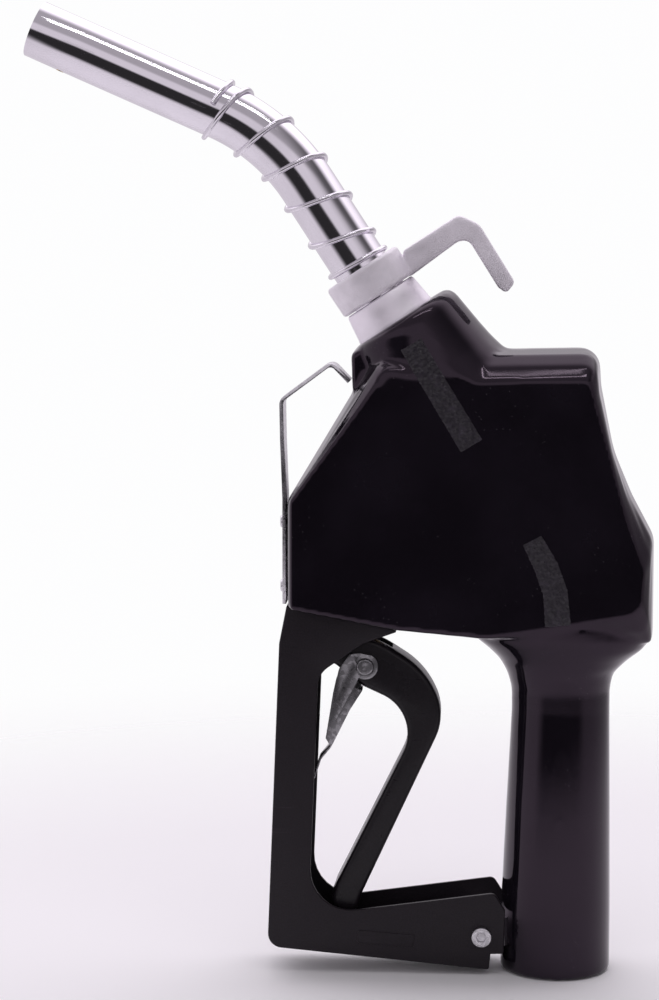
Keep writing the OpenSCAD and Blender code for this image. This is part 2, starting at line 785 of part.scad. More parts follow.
module vacuum_tube() {
    color([0.8, 0.8, 0.78]) difference() {
        spout_bar(1.9, tube_off, -8.5, port_at - 4, 0.03);
        spout_bar(1.2, tube_off, -9.5, port_at - 3, -0.03);
    }
}

module vacuum_port() {
    color([0.72, 0.6, 0.3]) along(bend_end, -tip_tilt) difference() {
        union() {
            translate([tube_off, 0, 0]) rod(2.15, port_at - 4, port_at + 3.5);
            translate([-spout_d / 2 - 0.1, 0, port_at]) rotate([0, 90, 0])
                cylinder(r = 1.55, h = spout_wall + 1.2);
        }
        translate([-spout_d / 2 - 2, 0, port_at]) rotate([0, 90, 0]) cylinder(r = 0.8, h = 4.6);
        translate([tube_off, 0, 0]) rod(1.2, port_at - 5, port_at);
    }
}

bend_l = spout_bend_r * spout_bend * PI / 180;

// How far into the bend a distance s along the spout has come, and the spout's lean there
function bend_run(s) = min(max(s - spout_base_l, 0), bend_l);
function lean_at(s) = neck_tilt + bend_run(s) / spout_bend_r * 180 / PI;

// The middle of the spout at a distance s along it
function spout_point(s) =
    let (a = lean_at(s), along = [-sin(a), cos(a)])
    s <= spout_base_l ? neck_at + s * along
                      : bend_centre + spout_bend_r * [cos(a), sin(a)] + (s - spout_base_l - bend_run(s)) * along;

// The direction away from the spout's middle at a distance s, turned about it by turn
function spout_outward(s, turn) =
    let (a = lean_at(s))
    [cos(turn) * cos(a), sin(turn), cos(turn) * sin(a)];

module spout_spring() {
    steps = 18;
    first_angle = 60;
    // Distance along the spout that the wire has reached after so many turns
    ring_end = bushing_h + ring_h + 1.6;
    tip_end = spout_base_l + bend_l + 3;
    reach = [[0, ring_end], [0.7, ring_end + 2.6], [1.2, ring_end + 9.6],
             [spout_turns - 0.75, tip_end - 0.6], [spout_turns - 0.25, tip_end - 3.4],
             [spout_turns, tip_end]];
    s = [for (i = [0:spout_turns * steps]) lookup(i / steps, reach)];
    outward = [for (i = [0:len(s) - 1]) spout_outward(s[i], first_angle - 360 * i / steps)];
    color([0.8, 0.8, 0.82]) wire(
        [for (i = [0:len(s) - 1]) let (c = spout_point(s[i])) [c.x, 0, c.y] + spout_coil_r * outward[i]],
        outward, spout_wire_d / 2, 8);
}

// -------------------------------------------------------------------- hook

module hook_ring() {
    low = bushing_h + 0.4;
    p = neck_at;
    color([0.7, 0.7, 0.72]) difference() {
        union() {
            along(neck_at, -neck_tilt) rotate_extrude() polygon(rounded([
                [spout_d / 2 + 0.1, low, 0], [ring_r, low, 1], [ring_r, low + ring_h, 1],
                [spout_d / 2 + 0.1, low + ring_h, 0]]));
            plate(hook_depth) polygon(rounded([
                [p.x + 6.4, p.y + 18.7, 0], [p.x + 3, p.y + 29.2, 0], [p.x + 26, p.y + 44.2, 3],
                [p.x + 34.6, p.y + 40.2, 8], [p.x + 49.6, p.y + 16.2, 2], [p.x + 46, p.y + 11.6, 1.6],
                [p.x + 42.6, p.y + 14, 1.6], [p.x + 30, p.y + 34, 4], [p.x + 25.5, p.y + 32.8, 3]]));
        }
        along(neck_at, -neck_tilt) rod(spout_d / 2 + 0.1, low - 5, low + ring_h + 5);
        along(neck_at, -neck_tilt) translate([0, 0, low + ring_h / 2]) rotate([-90, 0, 0])
            cylinder(r = 2.05, h = 30);
    }
}

module hook_set_screw() {
    low = bushing_h + 0.4;
    color([0.15, 0.15, 0.16]) along(neck_at, -neck_tilt) translate([0, 0, low + ring_h / 2])
        rotate([-90, 0, 0]) difference() {
            rod(2, spout_d / 2 + 0.05, ring_r - 0.4);
            translate([0, 0, ring_r - 2]) cylinder(r = 1.2, h = 3, $fn = 6);
        }
}

// -------------------------------------------------------------------- draw

body_cover();
body_casting();
body_cap();
cap_oring();
main_poppet();
poppet_seal();
poppet_spring();
valve_stem();
stem_guide();
stem_packing();
trip_stem();
trip_spring();
latch_rollers();
latch_pin();
diaphragm();
diaphragm_cover();
diaphragm_spring();
lever_pin();
lever_roller();
lever();
hold_open_clip();
clip_spring();
clip_rivet();
guard();
guard_top_screws();
guard_bolt();
guard_nut();
hanger_strap();
strap_screws();
check_seat();
check_cone();
check_spring();
spout_bushing();
bushing_oring();
spout();
vacuum_tube();
vacuum_port();
spout_spring();
hook_ring();
hook_set_screw();
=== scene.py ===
"""Automatic fuel nozzle: visible pieces, finishes, light and camera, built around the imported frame."""

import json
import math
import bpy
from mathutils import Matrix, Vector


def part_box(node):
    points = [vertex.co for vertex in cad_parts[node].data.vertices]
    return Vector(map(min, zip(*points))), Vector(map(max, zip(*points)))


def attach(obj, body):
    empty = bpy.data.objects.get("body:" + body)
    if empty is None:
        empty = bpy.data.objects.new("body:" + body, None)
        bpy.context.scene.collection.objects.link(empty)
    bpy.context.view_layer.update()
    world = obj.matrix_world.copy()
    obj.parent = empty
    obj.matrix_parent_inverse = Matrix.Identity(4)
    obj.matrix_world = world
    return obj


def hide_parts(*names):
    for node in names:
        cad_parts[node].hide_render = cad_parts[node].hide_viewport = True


bl_info = {
    "name": "Fuel Nozzle",
    "version": (1, 0, 0),
    "blender": (4, 5, 0),
    "location": "View3D > Sidebar > Nozzle",
    "description": "Builds the visible pieces of an automatic fuel nozzle on its working frame",
    "category": "Object",
}

import bmesh
import bpy
from bpy.props import FloatProperty, FloatVectorProperty, PointerProperty
from mathutils import Matrix, Vector, noise
from mathutils.bvhtree import BVHTree

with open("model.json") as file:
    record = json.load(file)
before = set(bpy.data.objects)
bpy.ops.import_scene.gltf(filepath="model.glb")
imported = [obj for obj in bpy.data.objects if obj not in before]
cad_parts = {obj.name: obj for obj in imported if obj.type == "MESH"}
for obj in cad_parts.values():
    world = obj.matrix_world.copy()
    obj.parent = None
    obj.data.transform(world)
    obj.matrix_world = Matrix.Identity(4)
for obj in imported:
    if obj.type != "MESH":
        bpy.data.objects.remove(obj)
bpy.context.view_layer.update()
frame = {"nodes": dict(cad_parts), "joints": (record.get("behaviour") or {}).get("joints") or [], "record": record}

MM = 0.001
JOINTS = {joint["name"]: joint for joint in frame["joints"]}
HINGE = [value / MM for value in JOINTS["lever_squeeze"]["pos_m"]]
BOLT = [sum(pair) / 2 / MM for pair in zip(*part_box("guard_nut"))]
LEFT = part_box("body_cover")[0].x / MM
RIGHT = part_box("body_cover")[1].x / MM
BOTTOM = HINGE[2] + 1
NECK_TILT = math.degrees(math.asin(-JOINTS["check_open"]["axis"][0]))
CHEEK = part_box("guard")[1].y / MM
LEVER_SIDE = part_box("lever")[1].y / MM


# ------------------------------------------------------------------ user sizes


class NozzleSizes(bpy.types.PropertyGroup):
    """Sizes of the visible pieces."""

    body_top: FloatProperty(name="Body top", description="Height of the body's flat top",
                            default=0.2635, unit="LENGTH")
    panel_half: FloatProperty(name="Panel half depth", description="Half the depth across the side panels",
                              default=0.028, unit="LENGTH")
    rim_half: FloatProperty(name="Rim half depth", description="Half the depth of the rim band",
                            default=0.020, unit="LENGTH")
    cover_wall: FloatProperty(name="Cover wall", description="Thickness of the vinyl cover",
                              default=0.0026, unit="LENGTH")
    grip_radius: FloatProperty(name="Grip radius", description="Radius at the bottom of the grip",
                               default=0.0232, unit="LENGTH")
    grip_top_radius: FloatProperty(name="Grip top radius", description="Radius at the top of the grip",
                                   default=0.0206, unit="LENGTH")
    neck_radius: FloatProperty(name="Neck radius", description="Radius of the cover around the neck",
                               default=0.025, unit="LENGTH")
    spout_radius: FloatProperty(name="Spout radius", description="Outer radius of the spout tube",
                                default=0.0119, unit="LENGTH")
    spout_wall: FloatProperty(name="Spout wall", description="Wall of the spout tube",
                              default=0.0013, unit="LENGTH")
    bend_radius: FloatProperty(name="Bend radius", description="Radius of the spout's bend",
                               default=0.084, unit="LENGTH")
    bend_angle: FloatProperty(name="Bend angle", description="Turn of the spout's bend",
                              default=math.radians(33), unit="ROTATION")
    base_length: FloatProperty(name="Base length", description="Straight length below the bend",
                               default=0.0672, unit="LENGTH")
    tip_length: FloatProperty(name="Tip length", description="Straight length past the bend",
                              default=0.084, unit="LENGTH")
    wire_radius: FloatProperty(name="Wire radius", description="Radius of the spout spring's wire",
                               default=0.00105, unit="LENGTH")
    coil_radius: FloatProperty(name="Coil radius", description="Mean radius of the spout spring",
                               default=0.01385, unit="LENGTH")


class NozzleColours(bpy.types.PropertyGroup):
    """Base colours of the finishes."""

    vinyl: FloatVectorProperty(name="Vinyl", description="Dipped vinyl cover", subtype="COLOR", size=4,
                               default=(0.0065, 0.0052, 0.0078, 1))
    coat: FloatVectorProperty(name="Coat", description="Powder coat of the guard", subtype="COLOR", size=4,
                              default=(0.0105, 0.0078, 0.0108, 1))
    lever: FloatVectorProperty(name="Lever", description="Moulded skin of the lever", subtype="COLOR", size=4,
                               default=(0.0085, 0.0068, 0.0088, 1))
    casting: FloatVectorProperty(name="Casting", description="Blasted aluminium casting", subtype="COLOR",
                                 size=4, default=(0.88, 0.84, 0.90, 1))
    chrome: FloatVectorProperty(name="Chrome", description="Polished spout tube", subtype="COLOR", size=4,
                                default=(0.83, 0.80, 0.86, 1))
    zinc: FloatVectorProperty(name="Zinc", description="Plated straps and screws", subtype="COLOR", size=4,
                              default=(0.70, 0.69, 0.72, 1))
    brass: FloatVectorProperty(name="Brass", description="Turned brass", subtype="COLOR", size=4,
                               default=(0.72, 0.50, 0.20, 1))
    rubber: FloatVectorProperty(name="Rubber", description="Seals", subtype="COLOR", size=4,
                                default=(0.022, 0.021, 0.021, 1))
    paper: FloatVectorProperty(name="Paper", description="Floor and backdrop", subtype="COLOR", size=4,
                               default=(0.93, 0.93, 0.935, 1))


# --------------------------------------------------------------- shader graphs


class Signal:
    """A shader socket that takes part in Python arithmetic."""

    def __init__(self, graph, socket):
        self.graph = graph
        self.socket = socket

    def math(self, operation, *others):
        inputs = dict(enumerate((self, *others)))
        return self.graph.add("ShaderNodeMath", {"operation": operation}, inputs)

    def __add__(self, other):
        return self.math("ADD", other)

    def __mul__(self, other):
        return self.math("MULTIPLY", other)

    def __sub__(self, other):
        return self.math("SUBTRACT", other)

    def __rsub__(self, other):
        return self.graph.add("ShaderNodeMath", {"operation": "SUBTRACT"}, {0: other, 1: self})

    __radd__ = __add__
    __rmul__ = __mul__

    def ramp(self, low, high, to_low=0.0, to_high=1.0):
        """This value from low..high, spread smoothly over to_low..to_high."""
        inputs = {"Value": self, "From Min": low, "From Max": high, "To Min": to_low, "To Max": to_high}
        return self.graph.add("ShaderNodeMapRange", {"interpolation_type": "SMOOTHSTEP"}, inputs)


class Graph:
    """A node tree that is built by adding one node after another."""

    def __init__(self, tree):
        self.tree = tree
        tree.nodes.clear()

    def add(self, kind, settings=None, inputs=None, output=0):
        node = self.tree.nodes.new(kind)
        for name, value in (settings or {}).items():
            setattr(node, name, value)
        for key, value in (inputs or {}).items():
            if isinstance(value, Signal):
                self.tree.links.new(value.socket, node.inputs[key])
            else:
                node.inputs[key].default_value = value
        return Signal(self, node.outputs[output]) if node.outputs else None

    def place(self, scale=(1, 1, 1), turn=(0, 0, 0), attribute=None):
        """Object coordinates, or a named attribute, turned and then scaled."""
        if attribute:
            source = self.add("ShaderNodeAttribute", {"attribute_name": attribute}, output="Vector")
        else:
            source = self.add("ShaderNodeTexCoord", output="Object")
        return self.add("ShaderNodeMapping", None, {"Vector": source, "Rotation": turn, "Scale": scale})

    def noise(self, place, scale, detail=3.0, rough=0.5):
        return self.add("ShaderNodeTexNoise", None,
                        {"Vector": place, "Scale": scale, "Detail": detail, "Roughness": rough})

    def cells(self, place, scale, feature="F1", output="Distance"):
        inputs = {"Vector": place, "Scale": scale}
        return self.add("ShaderNodeTexVoronoi", {"feature": feature}, inputs, output)

    def blend(self, factor, first, second):
        return self.add("ShaderNodeMix", {"data_type": "RGBA"}, {0: factor, 6: first, 7: second}, 2)

    def bump(self, height, distance, strength=1.0, under=None):
        inputs = {"Height": height, "Distance": distance, "Strength": strength}
        if under:
            inputs["Normal"] = under
        return self.add("ShaderNodeBump", None, inputs)


def tint(colour, factor):
    """A colour made lighter or darker by a factor."""
    return (*(value * factor for value in colour[:3]), 1)


def finish(name, varying, **constants):
    """A material whose constants sit on the shader and whose varying inputs come from nodes."""
    material = bpy.data.materials.new(name)
    material.use_nodes = True
    graph = Graph(material.node_tree)
    inputs = {label.replace("_", " ").title().replace("Ior", "IOR"): value
              for label, value in constants.items()}
    inputs.update(varying(graph))
    shader = graph.add("ShaderNodeBsdfPrincipled", None, inputs)
    graph.add("ShaderNodeOutputMaterial", None, {"Surface": shader})
    return material


def vinyl_finish(colour):
    """Glossy dipped vinyl: slow waves from dipping, fine orange peel and a little dust."""
    def varying(graph):
        place = graph.place()
        smear = graph.noise(place, 26, 4).ramp(0.38, 0.72)
        dust = graph.cells(place, 420).ramp(0.05, 0.09, 1, 0) * graph.noise(place, 40).ramp(0.5, 0.62)
        waves = graph.noise(place, 21, 1)
        peel = graph.noise(place, 420, 2)
        base = graph.blend(smear, colour, tint(colour, 1.6))
        return {
            "Base Color": graph.blend(dust * 0.35, base, (0.2, 0.19, 0.2, 1)),
            "Roughness": 0.055 + smear * 0.045 + dust * 0.3,
            "Normal": graph.bump(peel, 0.00001, 0.3, graph.bump(waves, 0.0012, 0.2)),
        }
    return finish("dipped vinyl", varying, specular_ior_level=0.4, specular_tint=(1, 0.78, 1, 1))


def grain_finish(colour):
    """Matt pebbled grain of the anti-slip strips."""
    def varying(graph):
        place = graph.place()
        pebbles = graph.cells(place, 640, "SMOOTH_F1")
        dust = graph.noise(place, 380, 3).ramp(0.45, 0.8)
        return {
            "Base Color": graph.blend(dust, colour, tint(colour, 2.0)),
            "Roughness": 0.28 + pebbles * 0.25,
            "Normal": graph.bump(1 - pebbles, 0.0012, 1.0),
        }
    return finish("pebbled vinyl", varying, specular_ior_level=0.4)


def coat_finish(name, colour, roughness, grain):
    """Satin black coat with a fine grain and rubbed patches."""
    def varying(graph):
        place = graph.place()
        rubbed = graph.noise(place, 34, 5, 0.6).ramp(0.42, 0.75)
        speckle = graph.noise(place, 1600, 2).ramp(0.35, 0.7)
        scuff = graph.noise(graph.place((60, 400, 900), (0.3, 0.2, 0.6)), 1, 2).ramp(0.66, 0.74)
        base = graph.blend(speckle * 0.6, colour, tint(colour, 1.7))
        return {
            "Base Color": graph.blend(scuff * rubbed * 0.5, base, tint(colour, 4)),
            "Roughness": roughness + rubbed * 0.12 - scuff * 0.05,
            "Normal": graph.bump(speckle, 0.0001, grain),
        }
    return finish(name, varying, specular_ior_level=0.25)


def casting_finish(colour):
    """Bead-blasted aluminium casting: fine dimples and cloudy tone."""
    def varying(graph):
        place = graph.place()
        cloud = graph.noise(place, 60, 4).ramp(0.3, 0.7)
        dimples = graph.cells(place, 1500)
        grit = graph.noise(place, 2400, 2)
        return {
            "Base Color": graph.blend(cloud, tint(colour, 0.9), tint(colour, 1.12)),
            "Roughness": 0.36 + cloud * 0.08 + grit * 0.08,
            "Normal": graph.bump(dimples + grit * 0.6, 0.00014, 0.55),
        }
    return finish("blasted aluminium", varying, metallic=0.3)


def turned_finish(name, colour, roughness, turn, lines=2600):
    """Metal turned about an axis: fine tool lines across it."""
    def varying(graph):
        along = graph.place((3, 3, lines), turn)
        tool = graph.noise(along, 1, 2)
        cloud = graph.noise(graph.place(), 70, 3).ramp(0.3, 0.7)
        return {
            "Base Color": graph.blend(cloud, tint(colour, 0.92), tint(colour, 1.08)),
            "Roughness": roughness + tool * 0.1 + cloud * 0.05,
            "Normal": graph.bump(tool, 0.00005, 0.35),
        }
    return finish(name, varying, metallic=1.0)


def tube_finish(colour):
    """Polished plated tube: faint lines along it, haze and a few short scratches."""
    def varying(graph):
        along = graph.place((1500, 1500, 9), attribute="unrolled")
        polish = graph.noise(along, 1, 2)
        haze = graph.noise(graph.place(attribute="unrolled"), 55, 4).ramp(0.4, 0.75)
        scratch = graph.noise(graph.place((700, 700, 60), attribute="unrolled"), 1, 1).ramp(0.71, 0.75)
        return {
            "Base Color": graph.blend(haze, colour, tint(colour, 0.93)),
            "Roughness": 0.045 + polish * 0.05 + haze * 0.03 + scratch * 0.12,
            "Normal": graph.bump(polish, 0.00002, 0.12),
        }
    return finish("polished tube", varying, metallic=1.0)


def plate_finish(name, colour, roughness, mottle):
    """Bright plated sheet or wire with a crystalline mottle."""
    def varying(graph):
        place = graph.place()
        spangle = graph.cells(place, 700, output="Color").ramp(0.1, 0.9)
        cloud = graph.noise(place, 140, 4).ramp(0.3, 0.7)
        fine = graph.noise(place, 1800, 2)
        return {
            "Base Color": graph.blend(spangle * mottle, colour, tint(colour, 0.55)),
            "Roughness": roughness + cloud * 0.08 + spangle * mottle * 0.12,
            "Normal": graph.bump(fine + spangle * mottle, 0.00005, 0.3),
        }
    return finish(name, varying, metallic=1.0)


def rubber_finish(colour):
    """Matt seal rubber with a faint bloom."""
    def varying(graph):
        place = graph.place()
        bloom = graph.noise(place, 120, 4).ramp(0.4, 0.7)
        return {
            "Base Color": graph.blend(bloom, colour, tint(colour, 2.2)),
            "Roughness": 0.55 + bloom * 0.2,
            "Normal": graph.bump(graph.noise(place, 2200, 2), 0.00005, 0.4),
        }
    return finish("seal rubber", varying)


FINISHES = {}


def make_finishes(colours):
    """All finishes, made once and kept by name."""
    if FINISHES:
        return
    neck = (0, math.radians(NECK_TILT), 0)
    stem = (0, -math.asin(JOINTS["valve_lift"]["axis"][0]), 0)
    FINISHES["vinyl_black"] = vinyl_finish(colours.vinyl)
    FINISHES["grain"] = grain_finish(tint(colours.vinyl, 2.3))
    FINISHES["guard_black"] = coat_finish("powder coat", colours.coat, 0.36, 0.35)
    FINISHES["lever_black"] = coat_finish("moulded skin", colours.lever, 0.27, 0.15)
    FINISHES["cast_aluminium"] = casting_finish(colours.casting)
    FINISHES["turned_aluminium"] = turned_finish("turned aluminium", tint(colours.casting, 1.0), 0.42, neck)
    FINISHES["spout_chrome"] = tube_finish(colours.chrome)
    FINISHES["bright_wire"] = plate_finish("bright wire", tint(colours.chrome, 0.95), 0.1, 0.1)
    FINISHES["spring_steel"] = plate_finish("spring steel", tint(colours.zinc, 0.8), 0.2, 0.1)
    # The clip's plate colour is zinc darkened to 0.4: painted shade, standing in for the dark surroundings that
    # the chrome clip reflects. The crystalline mottle is the plating's own pattern.
    FINISHES["clip_chrome"] = plate_finish("plated clip with painted shade", tint(colours.zinc, 0.4), 0.16, 0.9)
    FINISHES["zinc_steel"] = plate_finish("zinc plate", colours.zinc, 0.2, 0.35)
    FINISHES["pin_steel"] = turned_finish("ground steel", tint(colours.zinc, 0.9), 0.18, stem)
    FINISHES["brass"] = turned_finish("turned brass", colours.brass, 0.22, stem)
    FINISHES["rubber_black"] = rubber_finish(colours.rubber)


# ---------------------------------------------------------------- shape tools


def corner(before, at, after, radius, steps):
    """Points of the arc that rounds the corner at `at`."""
    at = Vector(at)
    u = (Vector(before) - at).normalized()
    v = (Vector(after) - at).normalized()
    half = math.acos(max(-1.0, min(1.0, u.dot(v)))) / 2
    middle = at + (u + v).normalized() * radius / math.sin(half)
    first = at + u * radius / math.tan(half) - middle
    last = at + v * radius / math.tan(half) - middle
    sweep = math.atan2(first.x * last.y - first.y * last.x, first.dot(last))
    return [middle + Matrix.Rotation(sweep * i / steps, 2) @ first for i in range(steps + 1)]


def rounded(points, steps=6):
    """An outline in metres from corners (x, z, radius) in millimetres."""
    flat = [point[:2] for point in points]
    outline = []
    for i, (x, z, radius) in enumerate(points):
        if radius:
            outline += corner(flat[i - 1], flat[i], flat[(i + 1) % len(flat)], radius, steps)
        else:
            outline.append(Vector((x, z)))
    return [point * MM for point in outline]


def inset(points, gap):
    """The corners (x, z, radius) of an anticlockwise outline, moved inwards by gap."""
    flat = [Vector(point[:2]) for point in points]
    result = []
    for i, at in enumerate(flat):
        u = (at - flat[i - 1]).normalized()
        v = (flat[(i + 1) % len(flat)] - at).normalized()
        a, b = Vector((-u.y, u.x)), Vector((-v.y, v.x))
        moved = at + (a + b) * gap / (1 + a.dot(b))
        result.append((moved.x, moved.y, max(points[i][2] - gap, 0.4)))
    return result


def lean(x, z, degrees):
    """A frame whose Z axis starts at (x, z) and leans by degrees towards +X."""
    return Matrix.Translation((x * MM, 0, z * MM)) @ Matrix.Rotation(math.radians(degrees), 4, "Y")


def as_object(bm, name, place=None):
    """A new object that holds the bmesh, moved by place."""
    bmesh.ops.remove_doubles(bm, verts=bm.verts, dist=1e-7)
    bmesh.ops.recalc_face_normals(bm, faces=bm.faces)
    if place:
        bm.transform(place)
    mesh = bpy.data.meshes.new(name)
    bm.to_mesh(mesh)
    bm.free()
    piece = bpy.data.objects.new(name, mesh)
    bpy.context.scene.collection.objects.link(piece)
    return piece


def soften(bm, edges, width, segments=3):
    """Rounds edges by width."""
    bmesh.ops.bevel(bm, geom=edges, offset=width, offset_type="OFFSET", segments=segments, profile=0.5,
                    affect="EDGES", material=-1, clamp_overlap=True)


def prism(outline, y0, y1, edge=0.0, segments=4, name="prism"):
    """A plate with that outline in the XZ plane, from y0 to y1 in millimetres, with rounded rims."""
    bm = bmesh.new()
    face = bm.faces.new([bm.verts.new((point.x, y0 * MM, point.y)) for point in outline])
    grown = bmesh.ops.extrude_face_region(bm, geom=[face])["geom"]
    moved = [item for item in grown if isinstance(item, bmesh.types.BMVert)]
    bmesh.ops.translate(bm, verts=moved, vec=(0, (y1 - y0) * MM, 0))
    bmesh.ops.recalc_face_normals(bm, faces=bm.faces)
    if edge:
        rims = [item for item in bm.edges if abs(item.verts[0].co.y - item.verts[1].co.y) < 1e-7]
        soften(bm, rims, edge * MM, segments)
    return as_object(bm, name)


def turned(profile, place, name="turned", steps=72):
    """A closed profile of (radius, height) in millimetres, spun about place's Z axis."""
    bm = bmesh.new()
    ring = [bm.verts.new((radius * MM, 0, height * MM)) for radius, height in profile]
    edges = [bm.edges.new((ring[i - 1], ring[i])) for i in range(1, len(ring))]
    if profile[0][0] > 0:
        edges.append(bm.edges.new((ring[-1], ring[0])))
    bmesh.ops.spin(bm, geom=ring + edges, cent=(0, 0, 0), axis=(0, 0, 1), angle=math.tau, steps=steps,
                   use_merge=True)
    return as_object(bm, name, place)


def rod(radius, z0, z1, place, name="rod", steps=64):
    """A plain cylinder about place's Z axis, for cutting and joining."""
    return turned([(0, z0), (radius, z0), (radius, z1), (0, z1)], place, name, steps)


def lofted(levels, name="loft", steps=64):
    """A closed column through ovals at (height, left, right, half depth, squareness) in millimetres."""
    bm = bmesh.new()
    rings = []
    for height, left, right, depth, square in levels:
        made = bmesh.ops.create_circle(bm, segments=steps, radius=1)["verts"]
        for vert in made:
            vert.co /= (abs(vert.co.x) ** square + abs(vert.co.y) ** square) ** (1 / square)
        size = ((right - left) / 2 * MM, depth * MM, 1)
        bmesh.ops.scale(bm, verts=made, vec=size)
        bmesh.ops.translate(bm, verts=made, vec=((left + right) / 2 * MM, 0, height * MM))
        rings.append(list({edge for vert in made for edge in vert.link_edges}))
    for lower, upper in zip(rings, rings[1:]):
        bmesh.ops.bridge_loops(bm, edges=lower + upper)
    bmesh.ops.holes_fill(bm, edges=rings[0] + rings[-1])
    return as_object(bm, name)


def layered(layers, name="layers"):
    """A closed block through outlines of equally many points, each at its own y in millimetres."""
    bm = bmesh.new()
    rings = [[bm.verts.new((point.x, y * MM, point.y)) for point in outline] for y, outline in layers]
    for near, far in zip(rings, rings[1:]):
        for i in range(len(near)):
            bm.faces.new((near[i - 1], near[i], far[i], far[i - 1]))
    bm.faces.new(rings[0])
    bm.faces.new(rings[-1])
    return as_object(bm, name)


def settle(piece):
    """Turns a piece's modifiers into plain mesh."""
    graph = bpy.context.evaluated_depsgraph_get()
    mesh = bpy.data.meshes.new_from_object(piece.evaluated_get(graph))
    piece.modifiers.clear()
    piece.data = mesh


def combine(piece, tool, operation="DIFFERENCE"):
    """Cuts a tool out of a piece, or joins the two."""
    change = piece.modifiers.new("combine", "BOOLEAN")
    change.object = tool
    change.operation = operation
    change.solver = "MANIFOLD"
    settle(piece)
    bpy.data.objects.remove(tool)
    if not piece.data.polygons:
        raise RuntimeError(f"{piece.name} came out empty")


def melt(piece, voxel, passes):
    """Joins a piece's overlapping shells into one skin and rounds it a little."""
    skin = piece.modifiers.new("skin", "REMESH")
    skin.mode = "VOXEL"
    skin.voxel_size = voxel
    settle(piece)
    rub(piece, [(None, 0, passes)])


def rub(piece, spots):
    """Smooths a piece: each spot is (centre, radius, passes), and a centre of None is everywhere."""
    bm = bmesh.new()
    bm.from_mesh(piece.data)
    for centre, radius, passes in spots:
        if centre is None:
            verts = bm.verts[:]
        else:
            verts = [vert for vert in bm.verts if (vert.co - Vector(centre)).length < radius]
        for _ in range(passes):
            bmesh.ops.smooth_vert(bm, verts=verts, factor=0.5, use_axis_x=True, use_axis_y=True,
                                  use_axis_z=True)
    bm.to_mesh(piece.data)
    bm.free()


def gather(pieces, name):
    """Several objects as one object of several shells."""
    bm = bmesh.new()
    for piece in pieces:
        bm.from_mesh(piece.data)
        bpy.data.objects.remove(piece)
    mesh = bpy.data.meshes.new(name)
    bm.to_mesh(mesh)
    bm.free()
    joined = bpy.data.objects.new(name, mesh)
    bpy.context.scene.collection.objects.link(joined)
    return joined


def wire(points, radius, name, sides=14):
    """A round wire through points, with closed ends."""
    curve = bpy.data.curves.new(name, "CURVE")
    curve.dimensions = "3D"
    curve.bevel_depth = radius
    curve.bevel_resolution = sides // 4
    curve.use_fill_caps = True
    spline = curve.splines.new("POLY")
    spline.points.add(len(points) - 1)
    for point, spot in zip(spline.points, points):
        point.co = (*spot, 1)
    strand = bpy.data.objects.new(name + " path", curve)
    bpy.context.scene.collection.objects.link(strand)
    graph = bpy.context.evaluated_depsgraph_get()
    mesh = bpy.data.meshes.new_from_object(strand.evaluated_get(graph))
    bpy.data.objects.remove(strand)
    bm = bmesh.new()
    bm.from_mesh(mesh)
    return as_object(bm, name)


def dress(piece, slot, finish_name=None, sharp=40):
    """Gives a piece its finish and smooth shading with sharp edges kept."""
    piece.data.materials.clear()
    piece.data.materials.append(FINISHES[finish_name or slot])
    piece.data.shade_smooth()
    piece.data.set_sharp_from_angle(angle=math.radians(sharp))


def hand_over(piece, body, slot, *nodes, finish_name=None, sharp=40):
    """Dresses a finished piece, lets it ride on its body and hides the nodes that it replaces."""
    dress(piece, slot, finish_name, sharp)
    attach(piece, body)
    if nodes:
        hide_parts(*nodes)


def polished_copy(node, width, name, segments=2):
    """A copy of a CAD node with its flat faces whole and its sharp edges broken by width."""
    bm = bmesh.new()
    bm.from_mesh(frame["nodes"][node].data)
    bmesh.ops.remove_doubles(bm, verts=bm.verts, dist=2e-6)
    bmesh.ops.dissolve_degenerate(bm, edges=bm.edges, dist=1e-6)
    bmesh.ops.dissolve_limit(bm, angle_limit=math.radians(0.8), verts=bm.verts, edges=bm.edges)
    bm.normal_update()
    keen = [edge for edge in bm.edges
            if len(edge.link_faces) == 2 and edge.calc_face_angle(0) > math.radians(38)]
    soften(bm, keen, width * MM, segments)
    return as_object(bm, name)


def body_of_node(node):
    """The body that a CAD node belongs to."""
    bodies = frame["record"]["behaviour"]["bodies"]
    return next(body for body, nodes in bodies.items() if node in nodes)


# --------------------------------------------------------------- vinyl cover


def rim_outline(top):
    """Corners of the cover's outline at the middle of its depth, anticlockwise."""
    return [(LEFT, BOTTOM + 59, 6), (LEFT, BOTTOM + 16, 2), (-68, BOTTOM + 7, 1), (-33, BOTTOM + 3.7, 1),
            (RIGHT, BOTTOM, 3), (RIGHT, BOTTOM + 45, 12), (RIGHT - 9.4, BOTTOM + 62.5, 25),
            (RIGHT - 17.2, BOTTOM + 81, 50), (RIGHT - 22.7, BOTTOM + 108, 25), (RIGHT - 23.6, top + 1, 8),
            (-12, top + 0.5, 14), (-30, top + 0.2, 6), (-78.3, top - 4, 4)]


def panel_outline(top):
    """Corners of the flat side panels, one for each corner of the outline."""
    return [(LEFT + 3, BOTTOM + 62, 3), (LEFT + 3, BOTTOM + 16, 1), (-68, BOTTOM + 8, 1),
            (-30, BOTTOM + 4.5, 1), (RIGHT - 7, BOTTOM + 15, 8), (RIGHT - 5.4, BOTTOM + 33, 8),
            (RIGHT - 13.4, BOTTOM + 56, 25), (RIGHT - 20, BOTTOM + 81, 40), (RIGHT - 26, BOTTOM + 102, 10),
            (RIGHT - 28.7, top - 11, 2.5), (-14, top - 11.4, 10), (-44, top - 12.3, 3), (-71, top - 5.5, 3)]


